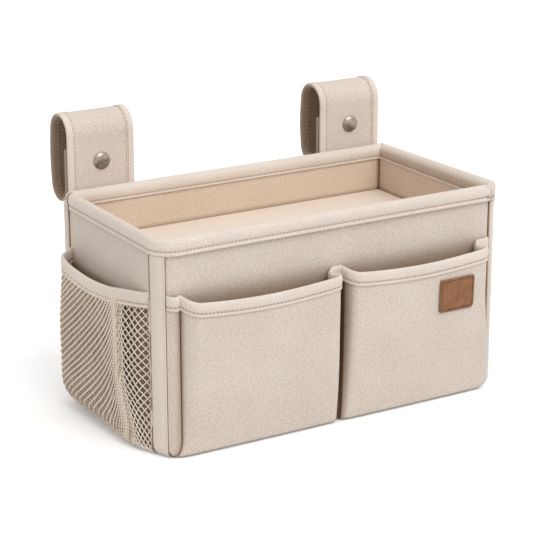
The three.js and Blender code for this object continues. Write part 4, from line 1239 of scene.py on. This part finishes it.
def makePatch():
    spotAt, _ = frontPocketOf("right")
    halfX, halfZ, radius = patch["width"] / 2, patch["height"] / 2, patch["radius"]
    alongX, alongZ = evenlyOut(halfX, patch["middle"][0]), evenlyOut(halfZ, patch["middle"][1])

    def onPocket(x, z, depth):
        y = pocketFaceAt(spotAt, patch["x"] + x, patch["z"] + z)
        return patch["x"] + x, y - patch["sunk"] - patch["thickness"] + depth, patch["z"] + z

    def place(u, v):
        x, z = alongX[round(u * (len(alongX) - 1))], alongZ[round(v * (len(alongZ) - 1))]
        overX, overZ = abs(x) - halfX + radius, abs(z) - halfZ + radius
        if overX > 0 and overZ > 0:  # the square corner is drawn in to a round one
            a, b = overX / radius, overZ / radius
            overX, overZ = overX * math.sqrt(1 - b * b / 2), overZ * math.sqrt(1 - a * a / 2)
            x = math.copysign(halfX - radius + overX, x)
            z = math.copysign(halfZ - radius + overZ, z)
        edge = radius - math.hypot(max(overX, 0), max(overZ, 0)) - min(max(overX, overZ), 0)
        groove = patch["grooveDepth"] * max(0.0, 1 - abs(edge - patch["stitchIn"]) / patch["grooveHalf"])
        # painted shade in the stitch groove; darker also along the rounded edge
        shade = 1 - patch["edgeDark"] * fades(edge, 0.8) - patch["grooveDark"] * groove
        return (*onPocket(x, z, patch["edgeFall"] * fades(edge, 0.9) + groove), shade)

    clothSheet("leatherPatch", len(alongX) - 1, len(alongZ) - 1, place, patch["thickness"] - 0.2,
               leatherCloth, "leather_patch", angle=50)

    corner = radius - patch["stitchIn"] + 0.4
    inX, inZ = halfX - patch["stitchIn"] - corner, halfZ - patch["stitchIn"] - corner
    outline = []
    for signX, signZ, start in ((1, -1, -90), (1, 1, 0), (-1, 1, 90), (-1, -1, 180)):
        for i in range(5):
            angle = math.radians(start + 90 * i / 4)
            outline.append(Vector((signX * inX + corner * math.cos(angle),
                                   signZ * inZ + corner * math.sin(angle))))
    outline.append(outline[0])

    def pointAt(t):
        place = t * (len(outline) - 1)
        index = min(int(place), len(outline) - 2)
        return Vector(onPocket(*outline[index].lerp(outline[index + 1], place - index), patch["stitchSunk"]))

    places = alongSeam(pointAt, lambda t: Vector((0, -1, 0)), 0, 1, patch["stitchPitch"], samples=480)
    stitchRow("patchStitches", places, patchThread, patch["thread"])


makePatch()
print("patch made")


# Straps: one folded length each, bound along both edges, closed by a press stud

strap = {
    "x": 125, "halfWidth": 31, "webHalf": 1.25, "legY": 85.9, "foot": 112, "split": 224, "step": 1.5,
    "archY": 102.05, "archZ": 228.3, "archRadius": 16.15, "backY": 118.2, "bow": 3.2,
    "curlY": 105.15, "curlZ": 183.65, "curlRadius": 13.05, "frontY": 92.1, "tailTop": 217,
    "rightDrop": 3.4, "dropFrom": 188, "dropOver": 26, "puff": 0.1, "puffSize": 20,
    # painted shade on the tape inside the loop, on the tail behind the leg and up the tail's end
    "loopDark": 0.34, "loopFade": 14, "backDark": 0.12, "backFade": 10, "endDark": 0.3, "endFrom": 39,
    "endFade": 12, "hinge": ((0.0954, 0.243), (0.1042, 0.2386)), "endRound": 1.5,
    # across from the edge in, out from the middle and shade, for the tape's outer face
    "tape": ((7.6, 1.2, 0.55), (7.55, 1.6, 0.75), (7.1, 1.85, 1), (6.6, 1.75, 0.97), (6.0, 1.4, 0.45),
             (5.4, 1.7, 0.97), (4.6, 1.85, 1), (2.6, 1.85, 1), (1.3, 1.75, 1), (0.4, 1.35, 1),
             (0.0, 0.6, 0.97), (0.0, 0.0, 0.97)),
    "stitchIn": 6.0, "stitchOut": 1.58, "stitchPitch": 3.4,
}


# The strap's middle line, in y and z: up the back panel, over the loop, round the curl and up the tail.
def strapRoute():
    step, foot, archZ, curlZ, tailTop = [strap[key] for key in ("step", "foot", "archZ", "curlZ", "tailTop")]

    def turn(centre, radius, start):
        count = int(math.pi * radius / step)
        angles = [start - math.pi * i / count for i in range(count + 1)]
        return [Vector((centre[0] + radius * math.cos(a), centre[1] + radius * math.sin(a))) for a in angles]

    def climb(y, low, high, first):
        count = int((high - low) / step)
        return [Vector((y, low + (high - low) * i / count)) for i in range(first, count + first)]

    backSteps = int((archZ - curlZ) / step)
    points = climb(strap["legY"], foot, archZ, 0)
    points += turn((strap["archY"], archZ), strap["archRadius"], math.pi)
    for t in [i / backSteps for i in range(1, backSteps)]:
        points.append(Vector((strap["backY"] + 2 * t * (1 - t) * strap["bow"], archZ + (curlZ - archZ) * t)))
    points += turn((strap["curlY"], curlZ), strap["curlRadius"], 0.0)
    return points + climb(strap["frontY"], curlZ, tailTop, 1)


strapPoints = strapRoute()
strapEnd = len(strapPoints) - 1
strapSplit = next(i for i, point in enumerate(strapPoints) if point.y >= strap["split"])


def strapFrame(place, x):
    index = min(int(place), strapEnd - 1)
    spot = strapPoints[index].lerp(strapPoints[index + 1], place - index)
    tangent = (strapPoints[min(index + 2, strapEnd)] - strapPoints[max(index - 1, 0)]).normalized()
    drop = strap["rightDrop"] * smoothStep((spot.y - strap["dropFrom"]) / strap["dropOver"]) if x > 0 else 0
    return Vector((x, spot.x, spot.y - drop)), Vector((0, -tangent.y, tangent.x))


def strapPiece(name, x, first, last, section, material, node, tape=False):
    def spotAt(u, across, out, shade):
        at = first + (last - first) * u
        origin, outward = strapFrame(at, x)
        puff = 1 + strap["puff"] * ripple(at * strap["step"], across, x, strap["puffSize"])
        if tape:
            # painted shade inside the loop, behind the leg and up the tail's end
            under = smoothStep((0.8 - out) / 0.8) if out < 1.2 else 0.0
            past = at - strapSplit
            inLoop = strap["loopDark"] * under * smoothStep(past / strap["loopFade"])
            behind = strap["backDark"] * smoothStep((past - strap["loopFade"]) / strap["backFade"])
            shade *= 1 - inLoop - behind
            shade *= 1 - strap["endDark"] * smoothStep((at - strapEnd + strap["endFrom"]) / strap["endFade"])
        near = (strapEnd - at) * strap["step"]
        if near < strap["endRound"]:
            out *= 0.35 + 0.65 * smoothStep(near / strap["endRound"])
        return (*(origin + Vector((across, 0, 0)) + outward * out * puff), shade)

    return closedBand(name, last - first, section, spotAt, material, node,
                      body="caddy" if first == 0 else None, angle=60)


def blendOver(piece):
    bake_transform(piece)


# The strap's face inside its loop is of a darker cloth, laid only where that face lies in shade: partly a
# darker lining and partly painted shade.
loopFace = {
    "legZ": 178, "legY": 90, "tailY": (89, 94.5), "tailZ": (184, 217.5), "coreY": 104.05, "coreZ": (186, 232),
    "facing": 0.3,
}


def isInLoop(middle, normal):
    if middle.z < loopFace["legZ"] and middle.y < loopFace["legY"]:
        return False
    (near, far), (low, high) = loopFace["tailY"], loopFace["tailZ"]
    if near < middle.y < far and low < middle.z < high:
        return normal.y > loopFace["facing"]
    inward = Vector((0, loopFace["coreY"] - middle.y, clamp(middle.z, *loopFace["coreZ"]) - middle.z))
    return inward.length > 0.1 and normal.dot(inward.normalized()) > loopFace["facing"]


def darkenLoop(piece):
    piece.data.materials.append(loopShadeCloth)
    for face in piece.data.polygons:
        if isInLoop(face.center / mm, face.normal):
            face.material_index = 1


def strapStitches(x, first, last):
    places = []
    for sign in (-1, 1):
        for face in (-1, 1):
            def pointAt(t, sign=sign, face=face):
                origin, outward = strapFrame(t, x)
                across = Vector((sign * (strap["halfWidth"] - strap["stitchIn"]), 0, 0))
                return origin + across + outward * face * strap["stitchOut"]

            places += alongSeam(pointAt, lambda t, face=face: strapFrame(t, x)[1] * face, max(first, 1),
                                last - 1, strap["stitchPitch"], samples=500)
    return places


def makeStrap(side):
    x = strap["x"] * signOf(side)
    web = strap["halfWidth"] - 1.2
    stations = [-web + 2 * web * i / 14 for i in range(15)]
    section = [(a, strap["webHalf"], 1) for a in reversed(stations)]
    section += [(a, -strap["webHalf"], 1) for a in stations]
    for part, first, last in (("leg", 0, strapSplit), ("tail", strapSplit, strapEnd)):
        name, node = side + "Strap" + part.capitalize(), f"{side}_strap_{part}"
        pieces = [strapPiece(name, x, first, last, section, outerCloth, node)]
        darkenLoop(pieces[0])
        for edge in ("left", "right"):
            sign = signOf(edge)
            outer = [(sign * (strap["halfWidth"] - a), out, shade) for a, out, shade in strap["tape"]]
            inner = [(across, -out, shade) for across, out, shade in reversed(outer[:-1])]
            pieces.append(strapPiece(name + "Tape" + edge.capitalize(), x, first, last, outer + inner,
                                     tapeCloth, f"{node}_tape_{edge}", tape=True))
        pieces.append(stitchRow(name + "Stitches", strapStitches(x, first, last), threadFinish,
                                body="caddy" if part == "leg" else None))
        if part == "tail":
            for piece in pieces:
                blendOver(piece)


for strapSide in ("left", "right"):
    makeStrap(strapSide)
print("straps made")


# Press studs: domed cap and socket on the leg, stud and post on the tail

studs = {
    "height": 205, "segments": 64, "capDark": 0.58, "capReach": 11,
    "from": {"cap": 84.8, "socket": 87.0, "stud": 91.0, "post": 93.2},  # y of each piece's front
    # radius, and place along +Y from the front of each piece
    "cap": ((0.0, -3.3), (1.2, -3.29), (2.6, -3.2), (4.0, -2.98), (5.2, -2.6), (6.1, -2.15), (6.75, -1.65),
            (7.15, -1.3), (7.42, -1.0), (7.5, -0.75), (7.5, -0.3), (7.38, -0.08), (7.1, 0.0), (1.5, 0.0),
            (1.5, 1.9), (0, 1.9)),
    "socket": ((0, 0), (5.7, 0), (5.95, 0.15), (6.0, 0.4), (6.0, 1.3), (5.85, 1.65), (5.5, 1.8), (4.2, 1.8),
               (3.9, 1.45), (3.4, 1.45), (3.1, 1.7), (2.8, 1.8), (2.8, 0.4), (0, 0.4)),
    "stud": ((0, -3.0), (1.2, -3.0), (1.8, -2.85), (2.1, -2.5), (2.1, -2.1), (1.85, -1.7), (1.85, -1.1),
             (2.1, -0.8), (5.0, -0.8), (5.4, -0.65), (5.5, -0.4), (5.4, -0.1), (5.2, 0), (0, 0)),
    "post": ((0, -1.9), (1.5, -1.9), (1.5, 0), (4.8, 0), (5.0, 0.3), (4.9, 0.7), (4.4, 1.05), (3.2, 1.1),
             (0, 1.1)),
}


# A turned piece: its profile is drawn out from a first disc along the stud's line.
def turnedPiece(side, part, body):
    profile, height = studs[part], studs["height"]
    radius, place = profile[1]
    piece = startPiece(side + "Snap" + part.capitalize(), bpy.ops.mesh.primitive_circle_add,
                       vertices=studs["segments"], radius=radius * mm, rotation=(math.pi / 2, 0, 0),
                       fill_type="TRIFAN")
    bpy.ops.object.transform_apply(location=False, rotation=True, scale=False)
    bpy.ops.object.mode_set(mode="EDIT")
    bpy.ops.mesh.select_all(action="SELECT")
    bpy.ops.transform.translate(value=(0, place * mm, 0))
    bpy.ops.mesh.select_all(action="DESELECT")
    bpy.ops.mesh.select_mode(type="EDGE")
    bpy.ops.mesh.select_non_manifold()
    for nextRadius, nextPlace in profile[2:-1]:
        bpy.ops.mesh.extrude_edges_move(TRANSFORM_OT_translate={"value": (0, (nextPlace - place) * mm, 0)})
        scale = nextRadius / radius
        bpy.ops.transform.resize(value=(scale, 1, scale), center_override=(0, nextPlace * mm, 0))
        radius, place = nextRadius, nextPlace
    bpy.ops.mesh.edge_face_add()
    bpy.ops.mesh.select_all(action="SELECT")
    bpy.ops.mesh.normals_make_consistent(inside=False)
    bpy.ops.transform.translate(value=(strap["x"] * signOf(side) * mm, studs["from"][part] * mm, height * mm))
    bpy.ops.mesh.select_mode(type="VERT")
    bpy.ops.object.mode_set(mode="OBJECT")
    dark = studs["capDark"] if part == "cap" else 1.0  # painted reflection: the cap is darker low down, as if it mirrored a darker room
    setShade(piece, [dark + (1 - dark) * smoothStep(0.5 + (vertex.co.z / mm - height) / studs["capReach"])
                     for vertex in piece.data.vertices])
    finishPiece(piece, nickel, f"{side}_strap_snap_{part}", body=body, angle=45)


for studSide in ("left", "right"):
    for studPart in ("cap", "socket"):
        turnedPiece(studSide, studPart, "caddy")
    for studPart in ("stud", "post"):
        turnedPiece(studSide, studPart, studSide + "_strap_tail")
print("press studs made")


# Raised floor: a covered board that lifts out

raisedFloor = {
    "halfWidth": 152, "halfDepth": 76, "top": 142, "thickness": 4.6, "frontCorner": 6, "backCorner": 2,
    "cornerSteps": 6, "turnUnder": 16, "cover": 0.8, "edge": 1.1, "edgeSteps": 4,
}


def selectOnly(mode, chosen, items):
    bpy.ops.object.mode_set(mode="EDIT")
    bpy.ops.mesh.select_mode(type=mode)
    bpy.ops.mesh.select_all(action="DESELECT")
    bpy.ops.object.mode_set(mode="OBJECT")
    for item in items:
        item.select = chosen(item)
    bpy.ops.object.mode_set(mode="EDIT")


def makeRaisedFloor():
    wide, deep = raisedFloor["halfWidth"] * mm, raisedFloor["halfDepth"] * mm
    piece = startPiece("raisedFloorCover", bpy.ops.mesh.primitive_plane_add, size=2,
                       location=(0, 0, raisedFloor["top"] * mm))
    piece.scale = (wide, deep, 1)
    bpy.ops.object.transform_apply()
    mesh = piece.data
    for sign, radius in ((-1, raisedFloor["frontCorner"]), (1, raisedFloor["backCorner"])):
        selectOnly("VERT", lambda vertex: vertex.co.y * sign > deep - 0.1 * mm, mesh.vertices)
        bpy.ops.mesh.bevel(affect="VERTICES", offset=radius * mm, segments=raisedFloor["cornerSteps"])
    bpy.ops.mesh.select_mode(type="FACE")
    bpy.ops.mesh.select_all(action="SELECT")
    bpy.ops.mesh.extrude_region_move(TRANSFORM_OT_translate={"value": (0, 0, -raisedFloor["thickness"] * mm)})
    bpy.ops.mesh.inset(thickness=raisedFloor["turnUnder"] * mm, depth=0)
    bpy.ops.mesh.delete(type="FACE")

    def isOuterEdge(line):
        first, second = (mesh.vertices[i].co for i in line.vertices)
        middle = (first + second) / 2
        return abs(first.z - second.z) < 1e-6 and (abs(middle.x) > wide - mm or abs(middle.y) > deep - mm)

    bpy.ops.object.mode_set(mode="OBJECT")
    selectOnly("EDGE", isOuterEdge, mesh.edges)
    bpy.ops.mesh.bevel(affect="EDGES", offset=raisedFloor["edge"] * mm, segments=raisedFloor["edgeSteps"])
    bpy.ops.mesh.select_mode(type="FACE")
    bpy.ops.object.mode_set(mode="OBJECT")
    faceOutward(piece)
    setShade(piece, [1.0] * len(mesh.vertices))
    plan = mesh.uv_layers[0]
    plan.name = "clothPlan"
    for loop, corner in zip(mesh.loops, plan.data):
        spot = mesh.vertices[loop.vertex_index].co
        corner.uv = (spot.x + spot.z, spot.y)
    thicken(piece, raisedFloor["cover"])
    finishPiece(piece, floorCloth, "floor_cover", body="raised_floor", angle=50)


makeRaisedFloor()
print("raised floor made")


# Stiff board inside the walls and under the floor: grey, with a paper face and cut edges
boardNodes = [side + "_board" for side in ("front", "back", "left", "right", "base", "floor")]
boardNodes += ["riser_" + side for side in ("front", "back", "left", "right")]
for boardNode in boardNodes:
    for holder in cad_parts[boardNode].material_slots:
        holder.material = greyBoard
print("boards finished")
